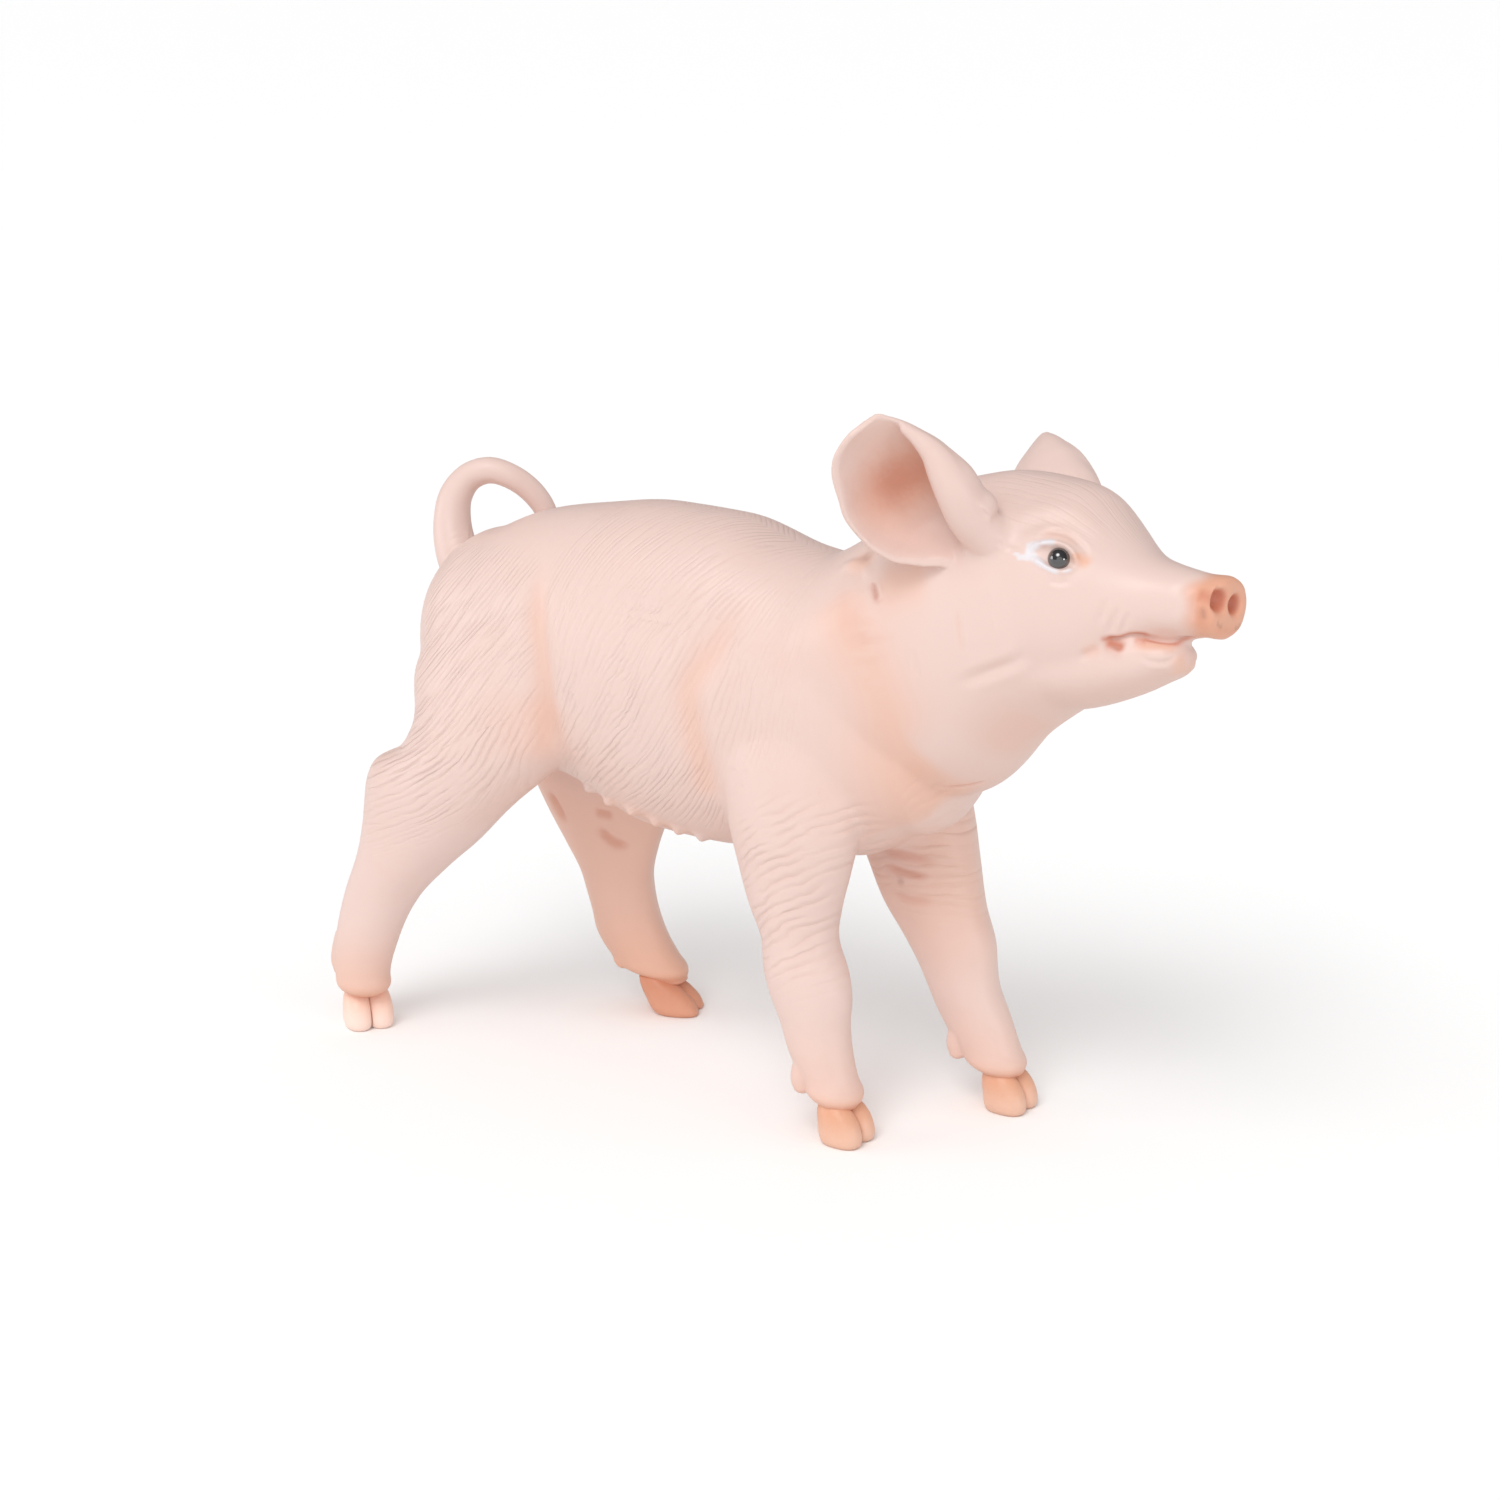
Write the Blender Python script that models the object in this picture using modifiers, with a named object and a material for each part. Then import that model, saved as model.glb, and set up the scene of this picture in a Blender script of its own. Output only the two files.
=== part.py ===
"""A walking piglet figurine in moulded vinyl: one hollow-free moulding parted into its anatomy.

Lengths are in millimetres until a mesh is made. +X is the way the piglet walks, +Y its left side
and +Z up; the soles of the four trotters lie on z = 0.
"""

from math import cos, pi, radians, sin

import bmesh
import bpy
import numpy as np
from mathutils import Matrix, Vector

# ---------------------------------------------------------------- driving dimensions
MM = 0.001
GAP = 0.3                    # the parting between two neighbouring parts
VOXEL = 0.5                  # grid on which the flesh is melted into one body
FLESH_TRIANGLES = 3860       # facets left on the whole body
HEAD_CENTRE = (45.0, -2.5, 70.0)
HEAD_YAW = 9.0               # the head looks a little to its right
HEAD_ROLL = 13.0             # and is cocked, its left side lower
EYE_RADIUS = 1.5
EYE_AT = (4.0, 9.25, 3.9)    # in the head's own frame; the left eye, mirrored for the right
EAR_THICKNESS = 1.1
CORONET_HEIGHT = 4.2         # where hoof meets leg
SOLE_SCALE = 0.92

FORWARD = np.array([1.0, 0.0, 0.0])
UP = np.array([0.0, 0.0, 1.0])
SIDE = np.array([0.0, 1.0, 0.0])

# Stations of each form: centre x, y, z, half width, half height above, half height below, and,
# where the form is not elliptical, the exponent of its section and its roll about the path.
TRUNK = [
    (-37.0, 0.0, 54.6, 13.0, 13.7, 14.5, 2.2),
    (-32.0, 0.0, 55.0, 13.6, 15.6, 16.0, 2.1),
    (-22.0, 0.0, 54.5, 14.4, 18.3, 18.0, 2.1),
    (-12.0, 0.0, 54.0, 15.2, 20.0, 21.6, 2.1),
    (-2.0, 0.0, 54.0, 15.2, 19.6, 22.2, 2.1),
    (8.0, 0.0, 54.0, 14.6, 16.8, 21.2, 2.1),
    (17.0, 0.0, 54.0, 13.6, 15.4, 20.8, 2.1),
    (25.0, 0.0, 53.5, 12.0, 13.6, 16.4, 2.1),
]
NECK = [
    (6.0, 0.0, 56.0, 12.5, 13.6, 15.0, 2.1, 0.0),
    (16.0, 0.0, 59.0, 13.3, 11.9, 18.0, 2.1, 1.0),
    (26.0, -0.5, 63.0, 13.6, 13.2, 20.4, 2.1, 5.0),
    (35.0, -1.4, 67.0, 13.2, 14.2, 16.8, 2.1, 10.0),
    (42.0, -2.1, 69.5, 12.2, 14.0, 14.2, 2.1, 13.0),
]
SKULL = [
    (-14.0, 0.0, -1.0, 11.5, 12.5, 13.5, 2.1),
    (-7.0, 0.0, -0.5, 12.0, 13.6, 14.0, 2.1),
    (0.0, 0.0, 0.0, 11.3, 12.8, 13.0, 2.1),
    (5.0, 0.0, 0.0, 9.6, 10.2, 11.0, 2.1),
    (9.0, 0.0, 0.3, 7.4, 7.0, 7.0, 2.1),
    (13.0, 0.0, 0.9, 5.4, 4.5, 4.6, 2.1),
    (17.0, 0.0, 1.2, 4.2, 3.6, 3.9, 2.1),
    (18.8, 0.0, 1.3, 3.7, 3.4, 3.6, 2.1),
    (19.9, 0.0, 1.3, 3.95, 3.65, 3.8, 2.1),
    (20.9, 0.0, 1.3, 3.7, 3.45, 3.6, 2.1),
]
JAW = [
    (-6.0, 0.0, -7.5, 9.0, 5.0, 6.8, 2.1),
    (2.0, 0.0, -7.2, 8.0, 4.4, 6.1, 2.1),
    (9.0, 0.0, -6.0, 5.8, 2.6, 4.7, 2.1),
    (14.6, 0.0, -4.8, 4.0, 1.3, 2.9, 2.1),
]
LEGS = {
    "leg_front_right": [
        (9.0, -5.0, 58.0, 6.0, 9.0, 9.0),
        (10.5, -8.1, 48.0, 6.8, 9.5, 9.0),
        (12.0, -9.6, 40.0, 6.4, 9.0, 8.6),
        (12.6, -9.9, 33.0, 5.7, 7.2, 7.2),
        (12.8, -10.0, 28.5, 5.2, 5.9, 5.9),
        (13.6, -10.2, 24.5, 4.7, 4.8, 4.8),
        (14.5, -10.4, 20.5, 4.6, 5.7, 5.4),
        (15.3, -10.5, 17.5, 4.4, 5.4, 5.3),
        (16.1, -10.7, 14.0, 3.9, 4.5, 4.4),
        (16.8, -10.9, 11.0, 3.8, 4.3, 4.2),
        (18.0, -11.0, 8.0, 3.7, 4.4, 3.9),
        (19.0, -11.1, 6.0, 3.6, 4.0, 3.8),
        (19.6, -11.2, 4.4, 3.2, 3.2, 3.2),
    ],
    "leg_front_left": [
        (13.0, 5.5, 56.0, 6.0, 9.0, 9.0),
        (15.5, 7.5, 46.0, 6.6, 9.2, 9.0),
        (18.0, 8.4, 38.0, 6.5, 8.6, 8.4),
        (20.3, 8.6, 30.5, 6.0, 7.5, 7.5),
        (22.0, 8.6, 25.0, 5.2, 6.9, 6.8),
        (24.2, 8.6, 21.0, 4.7, 6.1, 6.2),
        (25.6, 8.6, 17.5, 4.3, 5.0, 5.4),
        (26.6, 8.5, 15.0, 4.1, 4.5, 5.1),
        (27.8, 8.5, 12.0, 3.8, 4.8, 5.2),
        (29.5, 8.5, 8.5, 3.6, 4.6, 5.0),
        (31.0, 8.5, 6.0, 3.5, 4.0, 4.3),
        (32.0, 8.5, 4.4, 3.2, 3.2, 3.2),
    ],
    "leg_hind_right": [
        (-25.0, -2.5, 67.0, 5.0, 10.0, 11.0),
        (-27.0, -5.6, 60.0, 7.6, 13.0, 14.0),
        (-30.0, -7.9, 52.0, 8.2, 13.5, 14.6),
        (-34.0, -9.6, 43.5, 7.7, 14.3, 10.4),
        (-36.0, -10.1, 40.6, 7.3, 13.7, 10.0),
        (-38.3, -10.5, 37.7, 6.8, 12.8, 12.6),
        (-39.6, -10.7, 35.5, 6.5, 11.5, 12.3),
        (-41.1, -10.8, 33.0, 6.1, 10.3, 11.2),
        (-43.5, -11.0, 29.0, 5.3, 8.9, 9.3),
        (-46.9, -11.2, 24.3, 4.6, 7.0, 7.0),
        (-50.3, -11.4, 19.5, 4.0, 5.7, 5.5),
        (-52.2, -11.6, 15.2, 3.8, 4.9, 4.8),
        (-53.2, -11.8, 12.0, 3.7, 4.6, 4.4),
        (-53.8, -11.9, 9.0, 3.6, 4.1, 4.0),
        (-53.7, -12.0, 6.4, 3.4, 3.6, 3.6),
        (-53.6, -12.0, 4.6, 3.0, 3.0, 3.0),
    ],
    "leg_hind_left": [
        (-25.0, 2.5, 67.0, 5.0, 10.0, 11.0),
        (-27.0, 5.6, 60.0, 7.6, 13.0, 14.0),
        (-28.8, 8.0, 50.0, 8.2, 13.0, 15.0),
        (-29.0, 10.2, 40.0, 7.4, 12.2, 13.2),
        (-29.2, 11.0, 32.5, 6.5, 10.9, 11.6),
        (-29.8, 11.6, 27.3, 5.2, 9.0, 9.0),
        (-29.6, 12.2, 23.0, 4.6, 6.9, 6.9),
        (-29.1, 12.8, 18.6, 4.2, 5.2, 5.2),
        (-28.4, 13.4, 14.2, 4.0, 4.9, 5.0),
        (-27.0, 14.0, 10.0, 3.7, 5.0, 6.0),
        (-25.2, 14.4, 7.3, 3.6, 4.8, 6.2),
        (-23.6, 14.8, 5.2, 3.4, 4.2, 4.7),
        (-22.4, 15.1, 3.8, 3.0, 3.2, 3.8),
    ],
}
TAIL = [
    (-41.4, -0.5, 59.5, 3.5),
    (-45.0, 0.0, 63.6, 2.9),
    (-46.6, 1.0, 67.5, 2.5),
    (-46.7, 2.0, 70.8, 2.2),
    (-45.3, 3.0, 73.2, 1.9),
    (-42.6, 4.0, 74.3, 1.75),
    (-39.9, 5.2, 73.5, 1.65),
    (-38.0, 6.4, 71.9, 1.6),
    (-36.4, 7.2, 69.7, 1.5),
    (-35.2, 7.4, 67.0, 1.3),
]
TAIL_PARTING = ((-42.2, 4.1, 74.3), (1.0, 0.4, 0.0))
# Ear: distance along its axis (parts of its length), centre, half width and half depth of its scroll.
EAR = [
    (-0.12, 3.2, 1.2, 1.0),
    (-0.05, 2.0, 3.4, 2.6),
    (0.03, 1.7, 5.3, 4.0),
    (0.15, 2.65, 6.35, 4.8),
    (0.34, 3.5, 7.0, 5.0),
    (0.54, 3.7, 6.9, 4.6),
    (0.70, 3.4, 6.2, 3.8),
    (0.82, 2.95, 5.2, 2.9),
    (0.92, 2.7, 3.6, 2.0),
    (1.00, 2.2, 1.6, 0.8),
]
EAR_LENGTH = 17.4
EARS = {
    # name: (base, tip, direction of the hind edge, hand)
    "ear_right": ((36.8, -12.4, 78.2), (28.4, -20.0, 91.6), (-0.85, -0.53, 0.0), -1.0),
    "ear_left": ((39.0, 11.7, 74.1), (28.6, 22.4, 83.1), (-0.84, 0.46, -0.29), 1.0),
}
# Trotters: where the pair of claws stands, the way it is turned, and its leg.
TROTTERS = {
    "front_right": ((20.4, -11.3), -8.0),
    "front_left": ((32.8, 8.6), -8.0),
    "hind_right": ((-53.8, -11.3), -40.0),
    "hind_left": ((-21.8, 15.4), 0.0),
}
CLAW = [
    (0.9, 0.0, 0.0, 1.30, 3.0, 2.4, 2.2),
    (0.8, 0.0, 0.9, 1.68, 3.3, 2.7, 2.3),
    (0.2, 0.0, 2.4, 1.74, 3.0, 2.5, 2.3),
    (-0.6, 0.0, 4.0, 1.65, 2.5, 2.2, 2.2),
    (-1.2, 0.0, 5.4, 1.30, 1.9, 1.9, 2.1),
]
CLAW_SPREAD = 2.05
CLAW_SPLAY = 4.0
DEWCLAWS = {
    "front_right": ((16.4, -11.0, 9.8), -8.0),
    "front_left": ((27.4, 8.6, 8.6), -8.0),
    "hind_right": ((-56.5, -10.8, 9.8), -40.0),
    "hind_left": ((-28.9, 15.0, 7.5), 0.0),
}


# ---------------------------------------------------------------- curves and sections
def unit(vectors):
    return vectors / np.linalg.norm(vectors, axis=-1, keepdims=True)


def through(knots, values, where, steady):
    """Cubic through the stations; the columns marked steady never overshoot a station."""
    step = np.diff(knots)[:, None]
    rise = np.diff(values, axis=0) / step
    slope = np.empty_like(values)
    slope[0] = rise[0]
    slope[-1] = rise[-1]
    plain = (step[1:] * rise[:-1] + step[:-1] * rise[1:]) / (step[1:] + step[:-1])
    same = rise[:-1] * rise[1:] > 1e-12
    near = np.where(same, rise[:-1], 1.0)
    far = np.where(same, rise[1:], 1.0)
    first = 2 * step[1:] + step[:-1]
    second = step[1:] + 2 * step[:-1]
    gentle = np.where(same, (first + second) / (first / near + second / far), 0.0)
    slope[1:-1] = np.where(steady[None, :], gentle, plain)
    i = np.clip(np.searchsorted(knots, where, side="right") - 1, 0, len(knots) - 2)
    h = (knots[i + 1] - knots[i])[:, None]
    t = (where - knots[i])[:, None] / h
    out = (2 * t**3 - 3 * t**2 + 1) * values[i]
    out += (t**3 - 2 * t**2 + t) * h * slope[i]
    out += (3 * t**2 - 2 * t**3) * values[i + 1]
    out += (t**3 - t**2) * h * slope[i + 1]
    return out


def outward(points, faces):
    a = points[faces[:, 0]]
    b = points[faces[:, 1]]
    c = points[faces[:, 2]]
    inside_out = np.einsum("ij,ij->", np.cross(a, b), c) < 0
    return faces[:, ::-1] if inside_out else faces


def loft(stations, reference, caps=(0.0, 0.0), around=32, pace=1.2, plane=None):
    """A closed body: superelliptical sections along a path, rounded off past either end."""
    rows = np.array([tuple(s) + (2.0, 0.0)[len(s) - 6:] for s in stations], float)
    run = np.linalg.norm(np.diff(rows[:, :3], axis=0), axis=1)
    knots = np.concatenate([[0.0], np.cumsum(run)])
    steady = np.array([False] * 3 + [True] * 5)
    where = np.linspace(0, knots[-1], max(4, int(knots[-1] / pace)) + 1)
    flow = through(knots, rows, where, steady)
    small = 1e-3 * knots[-1]
    ahead = through(knots, rows, np.clip(where + small, 0, knots[-1]), steady)[:, :3]
    behind = through(knots, rows, np.clip(where - small, 0, knots[-1]), steady)[:, :3]
    heading = unit(ahead - behind)
    shrink = np.ones(len(flow))
    tips = [flow[0, :3] - caps[0] * heading[0], flow[-1, :3] + caps[1] * heading[-1]]
    swing = np.linspace(0, pi / 2, 7)[1:-1]
    if caps[0] > 0:
        extra = np.repeat(flow[:1], len(swing), 0)
        extra[:, :3] -= caps[0] * np.sin(swing)[:, None] * heading[0]
        flow = np.concatenate([extra[::-1], flow])
        heading = np.concatenate([np.repeat(heading[:1], len(swing), 0), heading])
        shrink = np.concatenate([np.cos(swing)[::-1], shrink])
    if caps[1] > 0:
        extra = np.repeat(flow[-1:], len(swing), 0)
        extra[:, :3] += caps[1] * np.sin(swing)[:, None] * heading[-1]
        flow = np.concatenate([flow, extra])
        heading = np.concatenate([heading, np.repeat(heading[-1:], len(swing), 0)])
        shrink = np.concatenate([shrink, np.cos(swing)])
    if plane is not None:
        heading = np.repeat(np.asarray(plane, float)[None], len(flow), 0)
    lateral = -unit(np.cross(heading, np.asarray(reference, float)))
    upright = -np.cross(lateral, heading)
    roll = np.radians(flow[:, 7])[:, None]
    left = lateral * np.cos(roll) - upright * np.sin(roll)
    top = upright * np.cos(roll) + lateral * np.sin(roll)
    angle = 2 * pi * np.arange(around) / around
    power = (2.0 / flow[:, 6])[:, None]
    across = np.sign(np.cos(angle)) * np.abs(np.cos(angle)) ** power
    along = np.sign(np.sin(angle)) * np.abs(np.sin(angle)) ** power
    height = np.where(np.sin(angle) > 0, flow[:, 4:5], flow[:, 5:6])
    wide = (shrink[:, None] * flow[:, 3:4] * across)[..., None] * left[:, None, :]
    high = (shrink[:, None] * height * along)[..., None] * top[:, None, :]
    rings = flow[:, None, :3] + wide + high
    count = len(flow)
    points = np.concatenate([rings.reshape(-1, 3), np.array(tips)])
    i, j = np.meshgrid(np.arange(count - 1), np.arange(around), indexing="ij")
    one = i * around + j
    two = i * around + (j + 1) % around
    quads = np.stack([one, two, two + around, one + around], -1).reshape(-1, 4)
    j = np.arange(around)
    last = (count - 1) * around
    start = np.stack([np.full(around, count * around), (j + 1) % around, j], -1)
    end = np.stack([np.full(around, count * around + 1), last + j, last + (j + 1) % around], -1)
    faces = np.concatenate([quads[:, [0, 1, 2]], quads[:, [0, 2, 3]], start, end])
    return points, outward(points, faces)


def scroll(base, tip, hind, hand, along=15, around=12):
    """An ear: a leaf whose section is part of an ellipse, its front edge rolled over."""
    base = np.asarray(base, float)
    axis = unit(np.asarray(tip, float) - base)
    across = np.asarray(hind, float)
    across = unit(across - axis * (across @ axis))
    away = hand * np.cross(axis, across)
    table = np.array(EAR)
    where = np.linspace(table[0, 0], table[-1, 0], along)
    flow = through(table[:, 0], table[:, 1:], where, np.array([True] * 3))
    u = np.linspace(0, 1, along)[:, None]
    v = np.linspace(0, 1, around)[None, :]
    rear = np.radians(-15 + 5 * u)
    front = np.radians(255 - 75 * u)
    swing = rear + (front - rear) * v
    middle = base + axis * (where[:, None] * EAR_LENGTH)[..., None]
    middle = middle + across * (flow[:, 0:1] + flow[:, 1:2] * np.cos(swing))[..., None]
    middle = middle + away * (flow[:, 2:3] * np.sin(swing))[..., None]
    rim = np.clip(np.minimum(v, 1 - v) * 22.0, 0, 3) / 3
    half = EAR_THICKNESS * (0.45 + 0.55 * np.sqrt(rim)) / 2 * np.ones_like(u)
    return leaf(middle, half)


def leaf(middle, half):
    """A closed sheet of the given half thickness about a grid of points."""
    normal = unit(np.cross(np.gradient(middle, axis=0), np.gradient(middle, axis=1)))
    rows, columns = middle.shape[:2]
    count = rows * columns
    front = (middle + normal * half[..., None]).reshape(-1, 3)
    back = (middle - normal * half[..., None]).reshape(-1, 3)
    i, j = np.meshgrid(np.arange(rows - 1), np.arange(columns - 1), indexing="ij")
    a = i * columns + j
    face = np.stack([a, a + 1, a + columns + 1, a + columns], -1).reshape(-1, 4)
    lower = np.arange(columns)
    right = np.arange(1, rows) * columns + columns - 1
    upper = (rows - 1) * columns + np.arange(columns - 2, -1, -1)
    left = np.arange(rows - 2, 0, -1) * columns
    edge = np.concatenate([lower, right, upper, left])
    after = np.roll(edge, -1)
    wall = np.stack([edge, after, after + count, edge + count], -1)[:, ::-1]
    quads = np.concatenate([face, face[:, ::-1] + count, wall])
    faces = np.concatenate([quads[:, [0, 1, 2]], quads[:, [0, 2, 3]]])
    points = np.concatenate([front, back])
    return points, outward(points, faces)


def turned(points, degrees):
    a = radians(degrees)
    turn = np.array([[cos(a), -sin(a), 0.0], [sin(a), cos(a), 0.0], [0.0, 0.0, 1.0]])
    return points @ turn.T


# ---------------------------------------------------------------- the head's own frame
def head_axes():
    yaw = radians(HEAD_YAW)
    roll = radians(HEAD_ROLL)
    ahead = np.array([cos(yaw), -sin(yaw), 0.0])
    level = np.array([sin(yaw), cos(yaw), 0.0])
    left = level * cos(roll) - UP * sin(roll)
    top = UP * cos(roll) + level * sin(roll)
    return np.stack([ahead, left, top], 1)


HEAD_AXES = head_axes()


def from_head(points):
    return np.asarray(HEAD_CENTRE) + np.asarray(points, float) @ HEAD_AXES.T


# ---------------------------------------------------------------- Blender helpers
CUTTERS = bpy.data.collections.new("cutters")
COLOURS = {
    "flesh": (0.86, 0.62, 0.54, 1.0),
    "nose": (0.78, 0.40, 0.30, 1.0),
    "hoof": (0.76, 0.42, 0.31, 1.0),
    "eye": (0.01, 0.01, 0.012, 1.0),
}


def material(name, colour):
    made = bpy.data.materials.new(name)
    made.use_nodes = True
    shader = made.node_tree.nodes["Principled BSDF"]
    shader.inputs["Base Color"].default_value = colour
    shader.inputs["Roughness"].default_value = 0.1 if name.startswith("eye") else 0.5
    return made


def mesh_object(name, parts, colour="flesh", helper=False):
    """One object holding the given closed surfaces, each a pair of points and triangles."""
    points = np.concatenate([p for p, _ in parts])
    starts = np.cumsum([0] + [len(p) for p, _ in parts[:-1]])
    faces = np.concatenate([f + s for (_, f), s in zip(parts, starts)])
    mesh = bpy.data.meshes.new(name)
    mesh.from_pydata((points * MM).tolist(), [], faces.tolist())
    mesh.update()
    made = bpy.data.objects.new(name, mesh)
    if helper:
        CUTTERS.objects.link(made)
        made.hide_render = True
        made.display_type = "WIRE"
    else:
        bpy.context.scene.collection.objects.link(made)
        made.data.materials.append(material(name + "_vinyl", COLOURS[colour]))
    return made


def settle(made):
    """Replaces an object's mesh by its mesh after modifiers."""
    bpy.context.view_layer.update()
    evaluated = made.evaluated_get(bpy.context.evaluated_depsgraph_get())
    mesh = bpy.data.meshes.new_from_object(evaluated)
    made.modifiers.clear()
    made.data = mesh


def cut(target, cutter, operation="DIFFERENCE"):
    step = target.modifiers.new("cut", "BOOLEAN")
    step.solver = "EXACT"
    step.operation = operation
    step.object = cutter
    settle(target)


def slab(name, centre, normal, size, thickness=GAP):
    """A thin plate square to the given normal; its size runs along Y' and along the rest."""
    normal = Vector(normal).normalized()
    lateral = Vector((0, 1, 0)) - normal * normal.y
    if lateral.length < 0.2:
        lateral = Vector((1, 0, 0))
    lateral.normalize()
    other = normal.cross(lateral)
    grid = Matrix((normal, lateral, other)).transposed()
    made = bpy.data.meshes.new(name)
    shape = bmesh.new()
    bmesh.ops.create_cube(shape, size=1.0)
    for vertex in shape.verts:
        local = Vector((vertex.co.x * thickness, vertex.co.y * size[0], vertex.co.z * size[1]))
        vertex.co = (grid @ local + Vector(centre)) * MM
    bmesh.ops.recalc_face_normals(shape, faces=shape.faces)
    shape.to_mesh(made)
    shape.free()
    plate = bpy.data.objects.new(name, made)
    plate.hide_render = True
    plate.display_type = "WIRE"
    CUTTERS.objects.link(plate)
    return plate


def box(name, low, high):
    centre = [(a + b) / 2 for a, b in zip(low, high)]
    mesh = bpy.data.meshes.new(name)
    shape = bmesh.new()
    bmesh.ops.create_cube(shape, size=1.0)
    for vertex in shape.verts:
        for axis in range(3):
            vertex.co[axis] = (vertex.co[axis] * (high[axis] - low[axis]) + centre[axis]) * MM
    shape.to_mesh(mesh)
    shape.free()
    made = bpy.data.objects.new(name, mesh)
    made.hide_render = True
    made.display_type = "WIRE"
    CUTTERS.objects.link(made)
    return made


def swollen(source, by):
    """A copy of a body grown outwards, for clearing the parts that sit on it."""
    copy = source.copy()
    copy.data = source.data.copy()
    copy.name = source.name + "_clearance"
    CUTTERS.objects.link(copy)
    copy.hide_render = True
    copy.display_type = "WIRE"
    grow = copy.modifiers.new("grow", "DISPLACE")
    grow.mid_level = 0.0
    grow.strength = by * MM
    settle(copy)
    return copy


def islands(source):
    """The separate closed bodies of a mesh, each as points and triangles in millimetres."""
    shape = bmesh.new()
    shape.from_mesh(source.data)
    bmesh.ops.triangulate(shape, faces=shape.faces)
    seen = set()
    found = []
    for start in shape.verts:
        if start.index in seen:
            continue
        seen.add(start.index)
        stack = [start]
        group = []
        while stack:
            vertex = stack.pop()
            group.append(vertex)
            for edge in vertex.link_edges:
                other = edge.other_vert(vertex)
                if other.index not in seen:
                    seen.add(other.index)
                    stack.append(other)
        number = {vertex.index: k for k, vertex in enumerate(group)}
        faces = {face for vertex in group for face in vertex.link_faces}
        points = np.array([vertex.co[:] for vertex in group]) / MM
        order = sorted(faces, key=lambda face: face.index)
        corners = np.array([[number[v.index] for v in face.verts] for face in order])
        found.append((points, corners))
    shape.free()
    return found


def size_of(part):
    points, faces = part
    cross = np.cross(points[faces[:, 0]], points[faces[:, 1]])
    return abs(np.einsum("ij,ij->", cross, points[faces[:, 2]])) / 6


# ---------------------------------------------------------------- the forms
def dewclaw_pair(at, turn):
    """Two small blunt claws hanging behind the pastern."""
    pair = []
    for side in (-1.0, 1.0):
        path = [
            (1.4, side * 1.5, 1.8, 1.4, 1.4, 1.4),
            (0.2, side * 1.8, 0.2, 1.5, 1.5, 1.5),
            (-0.6, side * 2.0, -1.5, 1.2, 1.2, 1.2),
        ]
        points, faces = loft(path, FORWARD, (0.6, 0.9), around=12, pace=0.6)
        pair.append((turned(points, turn) + np.asarray(at), faces))
    return pair


def flesh_forms():
    forms = [
        loft(TRUNK, UP, (10.7, 8.6), around=48, plane=FORWARD),
        loft(NECK, UP, (4.0, 4.0), around=48),
    ]
    points, faces = loft(SKULL, UP, (0.0, 0.4), around=40, pace=0.8)
    forms.append((from_head(points), faces))
    points, faces = loft(JAW, UP, (3.0, 2.2), around=32, pace=0.8)
    forms.append((from_head(points), faces))
    for stations in LEGS.values():
        forms.append(loft(stations, FORWARD, (4.0, 0.8), plane=UP))
    for at, turn in DEWCLAWS.values():
        forms.extend(dewclaw_pair(at, turn))
    return forms


def melted_flesh():
    """Trunk, neck, head and legs run together into one soft body, then faceted."""
    flesh = mesh_object("flesh", flesh_forms(), helper=True)
    melt = flesh.modifiers.new("melt", "REMESH")
    melt.mode = "VOXEL"
    melt.voxel_size = VOXEL * MM
    soften = flesh.modifiers.new("soften", "SMOOTH")
    soften.factor = 0.5
    soften.iterations = 12
    settle(flesh)
    count = sum(len(face.vertices) - 2 for face in flesh.data.polygons)
    facet = flesh.modifiers.new("facet", "DECIMATE")
    facet.ratio = FLESH_TRIANGLES / count
    settle(flesh)
    return flesh


def tail_form():
    return loft([(x, y, z, r, r, r) for x, y, z, r in TAIL], SIDE, (0.0, 1.0), around=12, pace=1.3)


def claw(at, turn, side):
    """One claw of a trotter: horizontal slices over a small flat sole."""
    rows = [tuple(v * SOLE_SCALE for v in row[:6]) + row[6:] for row in CLAW]
    points, faces = loft(rows, FORWARD, (0.0, 0.5), around=14, pace=1.3, plane=UP)
    points = turned(points, side * CLAW_SPLAY) + np.array([0.0, side * CLAW_SPREAD * SOLE_SCALE, 0.0])
    return turned(points, turn) + np.array([at[0], at[1], 0.0]), faces


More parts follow.
